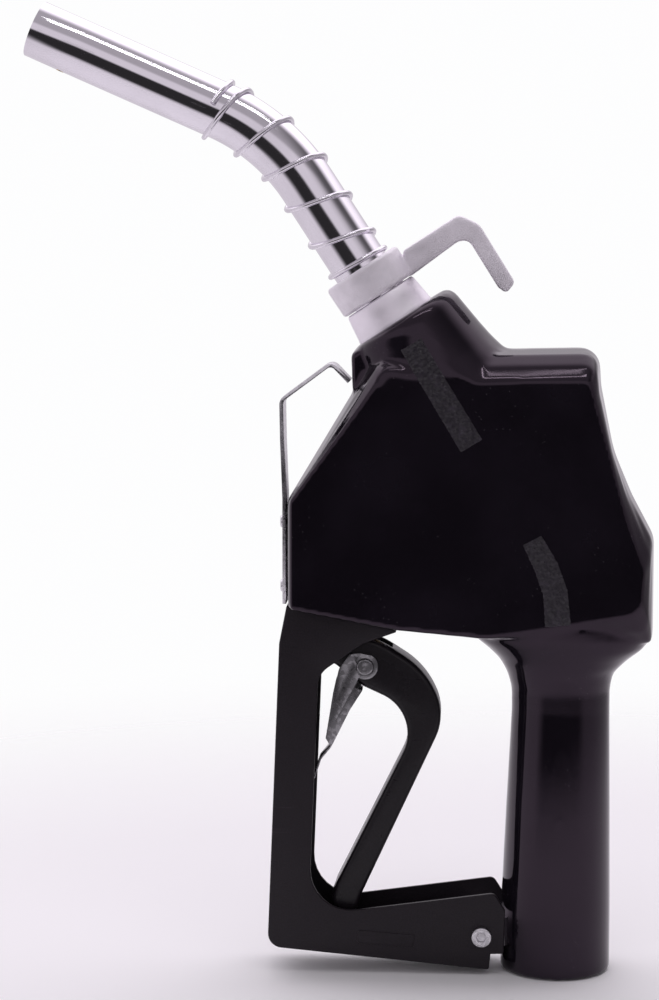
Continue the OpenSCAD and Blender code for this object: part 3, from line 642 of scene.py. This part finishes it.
def cover_block(sizes, gap, name):
    """The bevelled body block, crowned between its bevels and taken in all round by gap millimetres."""
    top = sizes.body_top / MM
    rim, panel = rim_outline(top), panel_outline(top)
    if gap:
        rim, panel = inset(rim, gap), inset(panel, gap)
    brow = inset(rim, 1.6)
    middle = [tuple((a + b) / 2 for a, b in zip(p, q)) for p, q in zip(rim, panel)]
    rim_y, panel_y = sizes.rim_half / MM - gap, sizes.panel_half / MM - gap
    half = [(4, rounded(rim)), (rim_y - 2.5, rounded(brow)), ((rim_y + panel_y) / 2 - 0.5, rounded(middle)),
            (panel_y, rounded(panel))]
    return layered([(-y, outline) for y, outline in reversed(half)] + half, name)


def neck_frame():
    """The frame of the neck, its Z axis up along the spout."""
    return lean(NECK[0], NECK[1], -NECK_TILT)


NECK = (-68.7, 275.3)
NECK_SHIFT = Matrix.Translation((2.4 * MM, 0, 0))
GRIP_SHIFT = Matrix.Translation((1.5 * MM, 0, 0))


class NOZZLE_OT_cover(bpy.types.Operator):
    """Build the dipped vinyl cover over body, neck and grip"""

    bl_idname = "nozzle.cover"
    bl_label = "Vinyl Cover"

    def execute(self, context):
        sizes = context.scene.nozzle_sizes
        low, high = sizes.grip_radius / MM, sizes.grip_top_radius / MM
        neck, wall = sizes.neck_radius / MM, sizes.cover_wall / MM
        skin = [
            cover_block(sizes, 0, "block"),
            lofted([(0.2, -low, low, low, 2), (25, -low, low, low, 2),
                    (70, -low + 2, low - 0.5, low - 1.2, 2),
                    (112, 1.5 - high, 1.5 + high, high, 2), (121, 1.4 - high, 1.5 + high, high + 0.1, 2),
                    (128, -0.6 - high, 2.9 + high, high + 0.8, 2.1),
                    (134, -4 - high, 9 + high, high + 2.4, 2.3),
                    (139, -9 - high, 15.5 + high, high + 4.4, 2.6),
                    (143, -14 - high, 17 + high, high + 6, 2.8),
                    (149, -20 - high, 17 + high, high + 6.8, 2.8)]),
            self.neck(sizes),
            prism(rounded([(-87, 262.6, 2), (-86.6, 256, 0), (-86.3, 246.5, 1), (-70, 240, 0),
                           (-70, 268, 0)]),
                  -13, 13, 3, name="lug"),
        ]
        cover = gather(skin, "vinyl_cover")
        melt(cover, 1.0 * MM, 6)
        rub(cover, [((-0.026, 0, 0.266), 0.013, 12), ((-0.060, -0.025, 0.254), 0.016, 20),
                    ((-0.060, 0.025, 0.254), 0.016, 20), ((-0.024, 0, 0.140), 0.024, 14),
                    ((0.026, 0, 0.136), 0.018, 10)])
        for tool in (
            cover_block(sizes, wall, "hollow"),
            rod(low - wall, -1, 30, Matrix.Identity(4)),
            rod(high - wall, 25, BOTTOM + 16, GRIP_SHIFT),
            rod(neck - 2.4 - wall, -34, -wall, neck_frame()),
            rod(17.9, -6, 4, neck_frame()),
            prism(rounded([(LEFT + 4, BOTTOM + 30, 0), (LEFT + 4, BOTTOM - 4, 0), (-66, BOTTOM - 4, 0),
                           (-66, BOTTOM + 30, 0)]), -13.1, 13.1),
            prism(rounded([(BOLT[0], BOLT[2] - 6.1, 0), (-11, BOLT[2] - 6.1, 0), (-11, BOLT[2] + 6.1, 0),
                           (BOLT[0], BOLT[2] + 6.1, 0)]), -8.2, 8.2),
        ):
            combine(cover, tool)
        hand_over(cover, "root", "vinyl_black", "body_cover", sharp=50)
        return {"FINISHED"}

    def neck(self, sizes):
        """The flared neck, flattened where it runs into the side panels."""
        neck, side = sizes.neck_radius / MM, sizes.panel_half / MM
        flare = turned([(0, -40), (neck + 6, -40), (neck + 4.4, -33), (neck + 2.8, -26), (neck + 1.6, -18),
                        (neck + 0.5, -9), (neck, -4.5), (neck - 1, -1.8), (neck - 2.8, -0.4), (neck - 4.5, 0),
                        (0, 0)], neck_frame() @ NECK_SHIFT)
        between = rounded([(-120, 200, 0), (20, 200, 0), (20, 300, 0), (-120, 300, 0)])
        combine(flare, prism(between, -side, side), "INTERSECT")
        return flare


def on_cover(cover, x, z, side):
    """The depth of the cover's skin at (x, z) in millimetres, seen from side -1 (front) or 1."""
    hit = cover.ray_cast(Vector((x * MM, side * 0.06, z * MM)), Vector((0, -side, 0)))[0]
    if hit is None:
        raise RuntimeError("a grain strip runs off the cover")
    return hit.y


class NOZZLE_OT_grain(bpy.types.Operator):
    """Build the pebbled anti-slip strips on both sides of the cover"""

    bl_idname = "nozzle.grain"
    bl_label = "Grain Strips"

    def execute(self, context):
        graph = bpy.context.evaluated_depsgraph_get()
        cover = BVHTree.FromObject(bpy.data.objects["vinyl_cover"], graph)
        strips = {
            "grain_upper": [(-62, 267, 10.5), (-53.6, 253, 10.6), (-45.1, 239, 10.8), (-36.7, 225, 10.9)],
            "grain_lower": [(-12, 187, 9.1), (-5.9, 175.4, 10.7), (-2.2, 165, 10.9), (-1, 150.9, 11.4)],
        }
        for name, spine in strips.items():
            for side, tail in ((-1, "front"), (1, "back")):
                piece = self.strip(cover, spine, side, f"{name}_{tail}")
                hand_over(piece, "root", "vinyl_black", finish_name="grain", sharp=60)
        return {"FINISHED"}

    def strip(self, cover, spine, side, name):
        """One strip of fine mesh laid on the cover, with pebbles raised out of it."""
        rows, columns = 150, 34
        bm = bmesh.new()
        made = bmesh.ops.create_grid(bm, x_segments=columns, y_segments=rows, size=0.5)["verts"]
        for vert in made:
            x, z, width, sideways = self.spot(spine, vert.co.y + 0.5)
            reach = vert.co.x * width
            place = Vector((x + sideways.x * reach, z + sideways.y * reach))
            depth = on_cover(cover, place.x, place.y, side)
            rim = min(0.5 - abs(vert.co.x), (0.5 - abs(vert.co.y)) * 4.5) / 0.06
            lift = -0.25 + 0.4 * min(1.0, max(0.0, rim))
            pebble = noise.turbulence(Vector((place.x, 0, place.y)) * 1.15, 3, False)
            vert.co = (place.x * MM, depth + side * (lift + 0.16 * pebble) * MM, place.y * MM)
        bmesh.ops.recalc_face_normals(bm, faces=bm.faces)
        if (bm.faces[:][0].normal.y > 0) != (side > 0):
            bmesh.ops.reverse_faces(bm, faces=bm.faces)
        mesh = bpy.data.meshes.new(name)
        bm.to_mesh(mesh)
        bm.free()
        piece = bpy.data.objects.new(name, mesh)
        bpy.context.scene.collection.objects.link(piece)
        thick = piece.modifiers.new("thickness", "SOLIDIFY")
        thick.thickness = 0.9 * MM
        thick.offset = -1
        settle(piece)
        return piece

    def spot(self, spine, share):
        """Place, width and sideways direction at a share of the strip's length."""
        span = share * (len(spine) - 1)
        i = min(int(span), len(spine) - 2)
        part = span - i
        a, b = Vector(spine[i]), Vector(spine[i + 1])
        before = Vector(spine[max(i - 1, 0)]).xy
        after = Vector(spine[min(i + 2, len(spine) - 1)]).xy
        start = (b.xy - before).normalized()
        stop = (after - a.xy).normalized()
        run = start.lerp(stop, part).normalized()
        x, z, width = a.lerp(b, part)
        return x, z, width, Vector((-run.y, run.x))


# -------------------------------------------------------- spout, spring, hook


def spout_point(sizes, run):
    """Centre, and direction away from the bend's centre, at a distance run along the spout."""
    tilt = math.radians(NECK_TILT)
    neck = Vector((NECK[0] * MM, NECK[1] * MM))
    start = neck + sizes.base_length * Vector((-math.sin(tilt), math.cos(tilt)))
    centre = start - sizes.bend_radius * Vector((math.cos(tilt), math.sin(tilt)))
    arc = sizes.bend_radius * sizes.bend_angle
    bend = min(max(run - sizes.base_length, 0), arc)
    turn = tilt + bend / sizes.bend_radius
    outward = Vector((math.cos(turn), math.sin(turn)))
    forward = Vector((-math.sin(turn), math.cos(turn)))
    if run < sizes.base_length:
        spot = neck + run * forward
    else:
        spot = centre + sizes.bend_radius * outward + (run - sizes.base_length - bend) * forward
    return Vector((spot.x, 0, spot.y)), Vector((outward.x, 0, outward.y)), Vector((forward.x, 0, forward.y))


class NOZZLE_OT_spout(bpy.types.Operator):
    """Build the polished spout tube"""

    bl_idname = "nozzle.spout"
    bl_label = "Spout Tube"

    def execute(self, context):
        sizes = context.scene.nozzle_sizes
        arc = sizes.bend_radius * sizes.bend_angle
        start = -0.009
        stops = [start, 0, sizes.base_length / 2, sizes.base_length]
        stops += [sizes.base_length + arc * i / 28 for i in range(1, 29)]
        stops += [sizes.base_length + arc + sizes.tip_length * share for share in (0.25, 0.5, 0.75, 1)]
        bm = bmesh.new()
        ring = bmesh.ops.create_circle(bm, segments=112, radius=sizes.spout_radius)["verts"]
        edges = bm.edges[:]
        at, outward, forward = spout_point(sizes, stops[0])
        bm.transform(self.pose(at, outward, forward))
        before = self.pose(at, outward, forward)
        for stop in stops[1:]:
            grown = bmesh.ops.extrude_edge_only(bm, edges=edges)["geom"]
            ring = [item for item in grown if isinstance(item, bmesh.types.BMVert)]
            edges = [item for item in grown if isinstance(item, bmesh.types.BMEdge)]
            after = self.pose(*spout_point(sizes, stop))
            bmesh.ops.transform(bm, verts=ring, matrix=after @ before.inverted())
            before = after
        tube = as_object(bm, "spout_tube")
        wall = tube.modifiers.new("wall", "SOLIDIFY")
        wall.thickness = sizes.spout_wall
        wall.offset = -1
        wall.use_even_offset = True
        settle(tube)
        port = sizes.base_length + arc + sizes.tip_length - 0.016
        at, outward, forward = spout_point(sizes, port)
        drill = self.pose(at - outward * sizes.spout_radius, forward, -outward)
        combine(tube, rod(1.6, -3, 3, drill, steps=32))
        self.round_rims(tube)
        self.unroll(tube, sizes)
        hand_over(tube, "root", "spout_chrome", "spout", sharp=35)
        return {"FINISHED"}

    def pose(self, at, outward, forward):
        """A frame at a point, with X outward and Z forward."""
        side = forward.cross(outward)
        turn = Matrix((outward, side, forward)).transposed().to_4x4()
        return Matrix.Translation(at) @ turn

    def round_rims(self, tube):
        bm = bmesh.new()
        bm.from_mesh(tube.data)
        keen = [edge for edge in bm.edges if len(edge.link_faces) == 2
                and edge.calc_face_angle(0) > math.radians(50)]
        soften(bm, keen, 0.4 * MM, 3)
        bm.to_mesh(tube.data)
        bm.free()

    def unroll(self, tube, sizes):
        """Stores each point as (outward, sideways, run) so that streaks follow the bend."""
        tilt = math.radians(NECK_TILT)
        start, outward, forward = spout_point(sizes, sizes.base_length)
        centre = start - outward * sizes.bend_radius
        stored = tube.data.attributes.new("unrolled", "FLOAT_VECTOR", "POINT")
        for vert, item in zip(tube.data.vertices, stored.data):
            arm = vert.co - centre
            turn = min(max(math.atan2(arm.z, arm.x) - tilt, 0), sizes.bend_angle)
            run = sizes.base_length + turn * sizes.bend_radius
            at, away, ahead = spout_point(sizes, run)
            offset = vert.co - at
            item.vector = (offset.dot(away), offset.y, run + offset.dot(ahead))


class NOZZLE_OT_spout_spring(bpy.types.Operator):
    """Wind the bright wire spring on the spout"""

    bl_idname = "nozzle.spout_spring"
    bl_label = "Spout Spring"

    def execute(self, context):
        sizes = context.scene.nozzle_sizes
        # Turns counted from the hook ring, and the distance along the spout that each has reached
        stops = ((0, 27.5), (0.7, 30.1), (1.2, 37.1), (5.67, 118.0), (6.17, 115.2), (6.42, 118.6))
        per_turn = 40
        first_angle = math.radians(60)
        points = []
        for i in range(int(stops[-1][0] * per_turn) + 1):
            turns = i / per_turn
            (t0, s0), (t1, s1) = next(pair for pair in zip(stops, stops[1:]) if turns <= pair[1][0] + 1e-9)
            at, outward, forward = spout_point(sizes, (s0 + (s1 - s0) * (turns - t0) / (t1 - t0)) * MM)
            angle = first_angle - math.tau * turns
            spoke = math.cos(angle) * outward + math.sin(angle) * Vector((0, 1, 0))
            points.append(at + sizes.coil_radius * spoke)
        for _ in range(12):
            middle = [(a + c) / 4 + b / 2 for a, b, c in zip(points, points[1:], points[2:])]
            points = [points[0], *middle, points[-1]]
        spring = wire(points, sizes.wire_radius, "spout_spring_wire", 20)
        hand_over(spring, "root", "bright_wire", "spout_spring")
        return {"FINISHED"}


class NOZZLE_OT_hook(bpy.types.Operator):
    """Build the cast hook and its ring"""

    bl_idname = "nozzle.hook"
    bl_label = "Hook"

    def execute(self, context):
        x, z = NECK
        low, high = 12.6, 26.3
        ring = turned([(9, low), (16.2, low), (17.1, low + 0.9), (17.2, high - 1), (16.3, high), (9, high)],
                      neck_frame(), "ring", 96)
        arm = prism(rounded([(x + 4, z + 20, 0), (x + 3, z + 29.2, 2),
                             (x + 26, z + 44.2, 3.5), (x + 34.6, z + 40.2, 8), (x + 49.6, z + 16.2, 2.5),
                             (x + 46, z + 11.6, 1.8), (x + 42.6, z + 14, 1.8), (x + 30, z + 34, 4),
                             (x + 25.5, z + 32.8, 3), (x + 6.4, z + 18.7, 0)]), -5, 5, 1.3, 4, "arm")
        hook = gather([ring, arm], "cast_hook")
        melt(hook, 0.42 * MM, 4)
        combine(hook, rod(12.0, low - 5, high + 5, neck_frame(), steps=96))
        screw = neck_frame() @ Matrix.Translation((0, 0, (low + high) / 2 * MM))
        combine(hook, rod(2.05, 0, 30, screw @ Matrix.Rotation(math.radians(-90), 4, "X"), steps=32))
        hand_over(hook, "root", "cast_aluminium", "hook_ring", sharp=45)
        return {"FINISHED"}


class NOZZLE_OT_bushing(bpy.types.Operator):
    """Build the turned bushing between neck and hook"""

    bl_idname = "nozzle.bushing"
    bl_label = "Spout Bushing"

    def execute(self, context):
        collar = [(11.95, -9), (14.4, -9), (14.4, -2.6), (17.6, -2.4), (17.6, 0.8), (17.4, 1.3),
                  (16.7, 7.2), (16.1, 11.2), (15.75, 11.9), (15.2, 12.2), (11.95, 12.2)]
        bushing = turned(collar, neck_frame(), "turned_bushing", 128)
        bm = bmesh.new()
        bm.from_mesh(bushing.data)
        keen = [edge for edge in bm.edges if edge.calc_face_angle(0) > math.radians(40)]
        soften(bm, keen, 0.12 * MM, 2)
        bm.to_mesh(bushing.data)
        bm.free()
        hand_over(bushing, "root", "turned_aluminium", "spout_bushing", sharp=35)
        return {"FINISHED"}


# ------------------------------------------------------------ lever and guard


class NOZZLE_OT_lever(bpy.types.Operator):
    """Build the squeeze lever"""

    bl_idname = "nozzle.lever"
    bl_label = "Lever"

    def execute(self, context):
        x, z = HINGE[0], HINGE[2]
        outline = rounded([
            (x - 7.4, z - 6.5, 6.5), (x - 7.4, z + 7.4, 7), (x + 8, z + 5.2, 5), (x + 22.8, z + 1.8, 38),
            (x + 42, z - 10.5, 35), (x + 51.4, z - 30, 23), (x + 15.9, z - 107, 0), (x + 13, z - 117.5, 5),
            (x + 1.5, z - 113, 5), (x + 4.9, z - 102.9, 0), (x + 37.6, z - 37, 18), (x + 29, z - 24, 18),
            (x + 16.6, z - 18.3, 6), (x + 4, z - 8.5, 6)], 14)
        lever = prism(outline, -LEVER_SIDE, LEVER_SIDE, 2.4, 5, "lever_skin")
        slot = rounded([(x - 12, z - 25, 0), (x + 28.5, z - 25, 0), (x + 28.5, z + 20, 0),
                        (x - 12, z + 20, 0)])
        combine(lever, prism(slot, -5.3, 5.3, name="slot"))
        hand_over(lever, "lever", "lever_black", "lever", sharp=30)
        return {"FINISHED"}


class NOZZLE_OT_guard(bpy.types.Operator):
    """Build the channel guard round the lever"""

    bl_idname = "nozzle.guard"
    bl_label = "Guard"

    def execute(self, context):
        gx, b, t = LEFT - 2.8, BOTTOM, 1.8
        outer = rounded([
            (gx + 3, b + 15.3, 0), (gx, b, 10), (gx - 5.2, 11, 6), (-28.2, 2.3, 1), (-27.6, 9, 0),
            (-22, 9.2, 1), (-21.5, 28, 3), (-26.1, 35.3, 3), (-82, 27.6, 20), (-104.5, 25, 17),
            (-100.4, 128, 10), (-82, b, 6), (-68, b + 5, 0), (-67.5, b + 6.3, 0)], 8)
        inner = rounded([
            (gx + 3 + t, b + 20, 0), (gx + t, b, 10 - t), (gx - 5.2 + t, 11 + t, 6 - t), (-20, 3.3, 0),
            (-10, 40, 0), (-60, 80, 0), (-50, b + 20, 0)], 8)
        guard = prism(outer, -CHEEK, CHEEK, 0.7, 3, "channel_guard")
        combine(guard, prism(inner, t - CHEEK, CHEEK - t, name="channel"))
        for side in (-1, 1):
            pad = rounded([(-84, 13.2, 1), (-60, 11.4, 1), (-59.6, 17, 1), (-83.6, 18.8, 1)], 3)
            near, far = sorted((side * (CHEEK - 0.5), side * (CHEEK + 0.35)))
            combine(guard, prism(pad, near, far, 0.25, 2, "pad"), "UNION")
        tab = [(gx + 3.2, b + 15, 0), (gx + 3.2, b + 13.2, 0), (HINGE[0] - 6.2, b + 11.8, 0),
               (HINGE[0] - 6.2, b + 13.6, 0)]
        combine(guard, prism(rounded(tab), t - CHEEK - 0.2, CHEEK - t + 0.2, name="tab"), "UNION")
        hand_over(guard, "root", "guard_black", "guard", sharp=30)
        return {"FINISHED"}


class NOZZLE_OT_small_parts(bpy.types.Operator):
    """Break the edges of the sheet metal, pins, rivets and screws"""

    bl_idname = "nozzle.small_parts"
    bl_label = "Sheet Metal and Fasteners"

    def execute(self, context):
        widths = {
            "hold_open_clip": 0.22, "clip_rivet": 0.2, "lever_pin": 0.3, "lever_roller": 0.2,
            "hanger_strap": 0.35, "strap_screws": 0.1, "guard_bolt": 0.3, "guard_nut": 0.25,
            "guard_top_screws": 0.15, "hook_set_screw": 0.1,
        }
        slots = {row["node"]: row["material_slot"] for row in frame["record"]["subparts"]}
        for node, width in widths.items():
            piece = polished_copy(node, width, "finished_" + node)
            hand_over(piece, body_of_node(node), slots[node], node, sharp=32)
        return {"FINISHED"}


class NOZZLE_OT_inner_parts(bpy.types.Operator):
    """Give every remaining node of the frame its finish"""

    bl_idname = "nozzle.inner_parts"
    bl_label = "Inner Parts"

    def execute(self, context):
        for row in frame["record"]["subparts"]:
            node = frame["nodes"][row["node"]]
            node.data.materials.clear()
            node.data.materials.append(FINISHES[row["material_slot"]])
        return {"FINISHED"}


# ---------------------------------------------------------------------- stage


class NOZZLE_OT_stage(bpy.types.Operator):
    """Set the pale floor, the soft light and the camera"""

    bl_idname = "nozzle.stage"
    bl_label = "Stage"

    def execute(self, context):
        colours = context.scene.nozzle_colours
        make_finishes(colours)
        self.floor(colours.paper)
        self.surroundings(colours.paper)
        self.lamp("key strip", (0.02, -0.35, 0.95), 0.5, 0.03, 0.4)
        self.lamp("upper strip", (0.02, -0.27, 0.98), 0.5, 0.01, 0.12)
        self.camera(context)
        context.scene.view_settings.view_transform = "Standard"
        return {"FINISHED"}

    def floor(self, paper):
        """A pale round sheet that fades out into the backdrop."""
        bm = bmesh.new()
        bmesh.ops.create_circle(bm, cap_ends=True, segments=96, radius=1.4)
        bmesh.ops.translate(bm, verts=bm.verts, vec=(-0.04, 0.1, 0))
        sheet = as_object(bm, "floor")

        def varying(graph):
            place = graph.add("ShaderNodeTexCoord", output="Object")
            reach = graph.add("ShaderNodeVectorMath", {"operation": "LENGTH"}, {0: place}, output="Value")
            fibre = graph.noise(graph.place(), 900, 3)
            return {
                "Base Color": graph.blend(fibre * 0.3, paper, tint(paper, 0.97)),
                "Alpha": reach.ramp(0.22, 0.75, 1, 0),
            }
        sheet.data.materials.append(finish("paper", varying, roughness=0.7))

    def surroundings(self, paper):
        """A pale backdrop, and a white studio with a dark front for reflections."""
        world = bpy.data.worlds.new("studio")
        bpy.context.scene.world = world
        world.use_nodes = True
        graph = Graph(world.node_tree)
        way = graph.add("ShaderNodeTexCoord", output="Generated")
        split = {name: graph.add("ShaderNodeSeparateXYZ", None, {0: way}, name) for name in "XYZ"}
        front = split["Y"].ramp(-0.80, -0.50, 1, 0)
        level = split["Z"].ramp(0.01, 0.13, 1, 0) * split["Z"].ramp(-0.66, -0.46, 0, 1)
        hazy = split["Z"].ramp(0.40, 0.55) * split["Y"].ramp(-0.25, 0.0, 1, 0)
        above = split["Z"].ramp(0.25, 0.6) * split["Y"].ramp(-0.15, 0.25)
        glow = 0.72 + above * 0.9 - hazy * 0.3 - split["X"].ramp(0.35, 0.8) * 0.32
        studio = glow * (1 - front * level * 0.965)
        light = graph.add("ShaderNodeBackground", None, {"Color": (0.99, 0.93, 1, 1), "Strength": studio})
        backdrop = graph.add("ShaderNodeBackground", None, {"Color": paper, "Strength": 1.06})
        seen = graph.add("ShaderNodeLightPath", output="Is Camera Ray")
        mixed = graph.add("ShaderNodeMixShader", None, {0: seen, 1: light, 2: backdrop})
        graph.add("ShaderNodeOutputWorld", None, {"Surface": mixed})

    def lamp(self, name, at, width, height, power):
        """A soft rectangular light that faces the nozzle's middle."""
        data = bpy.data.lights.new(name, "AREA")
        data.shape = "RECTANGLE"
        data.size, data.size_y = width, height
        data.energy = power
        lamp = bpy.data.objects.new(name, data)
        lamp.location = at
        lamp.rotation_euler = (Vector((-0.06, 0, 0.2)) - Vector(at)).to_track_quat("-Z", "Y").to_euler()
        bpy.context.scene.collection.objects.link(lamp)

    def camera(self, context):
        """The camera looks at the nozzle's side from a little above and to the right."""
        data = bpy.data.cameras.new("camera")
        data.lens, data.sensor_width = 90, 36
        camera = bpy.data.objects.new("camera", data)
        azimuth, elevation, distance = math.radians(3), math.radians(6), 1.05375
        back = Vector((math.sin(azimuth) * math.cos(elevation), -math.cos(azimuth) * math.cos(elevation),
                       math.sin(elevation)))
        camera.location = Vector((-0.0964, 0, 0.19995)) + back * distance
        camera.rotation_euler = (-back).to_track_quat("-Z", "Y").to_euler()
        context.scene.collection.objects.link(camera)
        context.scene.camera = camera


# --------------------------------------------------------------------- add-on


OPERATORS = (NOZZLE_OT_stage, NOZZLE_OT_inner_parts, NOZZLE_OT_cover, NOZZLE_OT_grain, NOZZLE_OT_spout,
             NOZZLE_OT_spout_spring, NOZZLE_OT_hook, NOZZLE_OT_bushing, NOZZLE_OT_lever, NOZZLE_OT_guard,
             NOZZLE_OT_small_parts)


class NOZZLE_PT_panel(bpy.types.Panel):
    """Sizes, colours and building steps of the nozzle"""

    bl_idname = "NOZZLE_PT_panel"
    bl_label = "Fuel Nozzle"
    bl_space_type = "VIEW_3D"
    bl_region_type = "UI"
    bl_category = "Nozzle"

    def draw(self, context):
        for group in (context.scene.nozzle_sizes, context.scene.nozzle_colours):
            box = self.layout.box()
            for name in type(group).__annotations__:
                box.prop(group, name)
        for operator in OPERATORS:
            self.layout.operator(operator.bl_idname)


CLASSES = (NozzleSizes, NozzleColours, *OPERATORS, NOZZLE_PT_panel)


def register():
    for item in CLASSES:
        bpy.utils.register_class(item)
    bpy.types.Scene.nozzle_sizes = PointerProperty(type=NozzleSizes)
    bpy.types.Scene.nozzle_colours = PointerProperty(type=NozzleColours)


def unregister():
    del bpy.types.Scene.nozzle_colours
    del bpy.types.Scene.nozzle_sizes
    for item in reversed(CLASSES):
        bpy.utils.unregister_class(item)


def main():
    register()
    for operator in OPERATORS:
        group, name = operator.bl_idname.split(".")
        getattr(getattr(bpy.ops, group), name)()


if __name__ == "__main__":
    main()
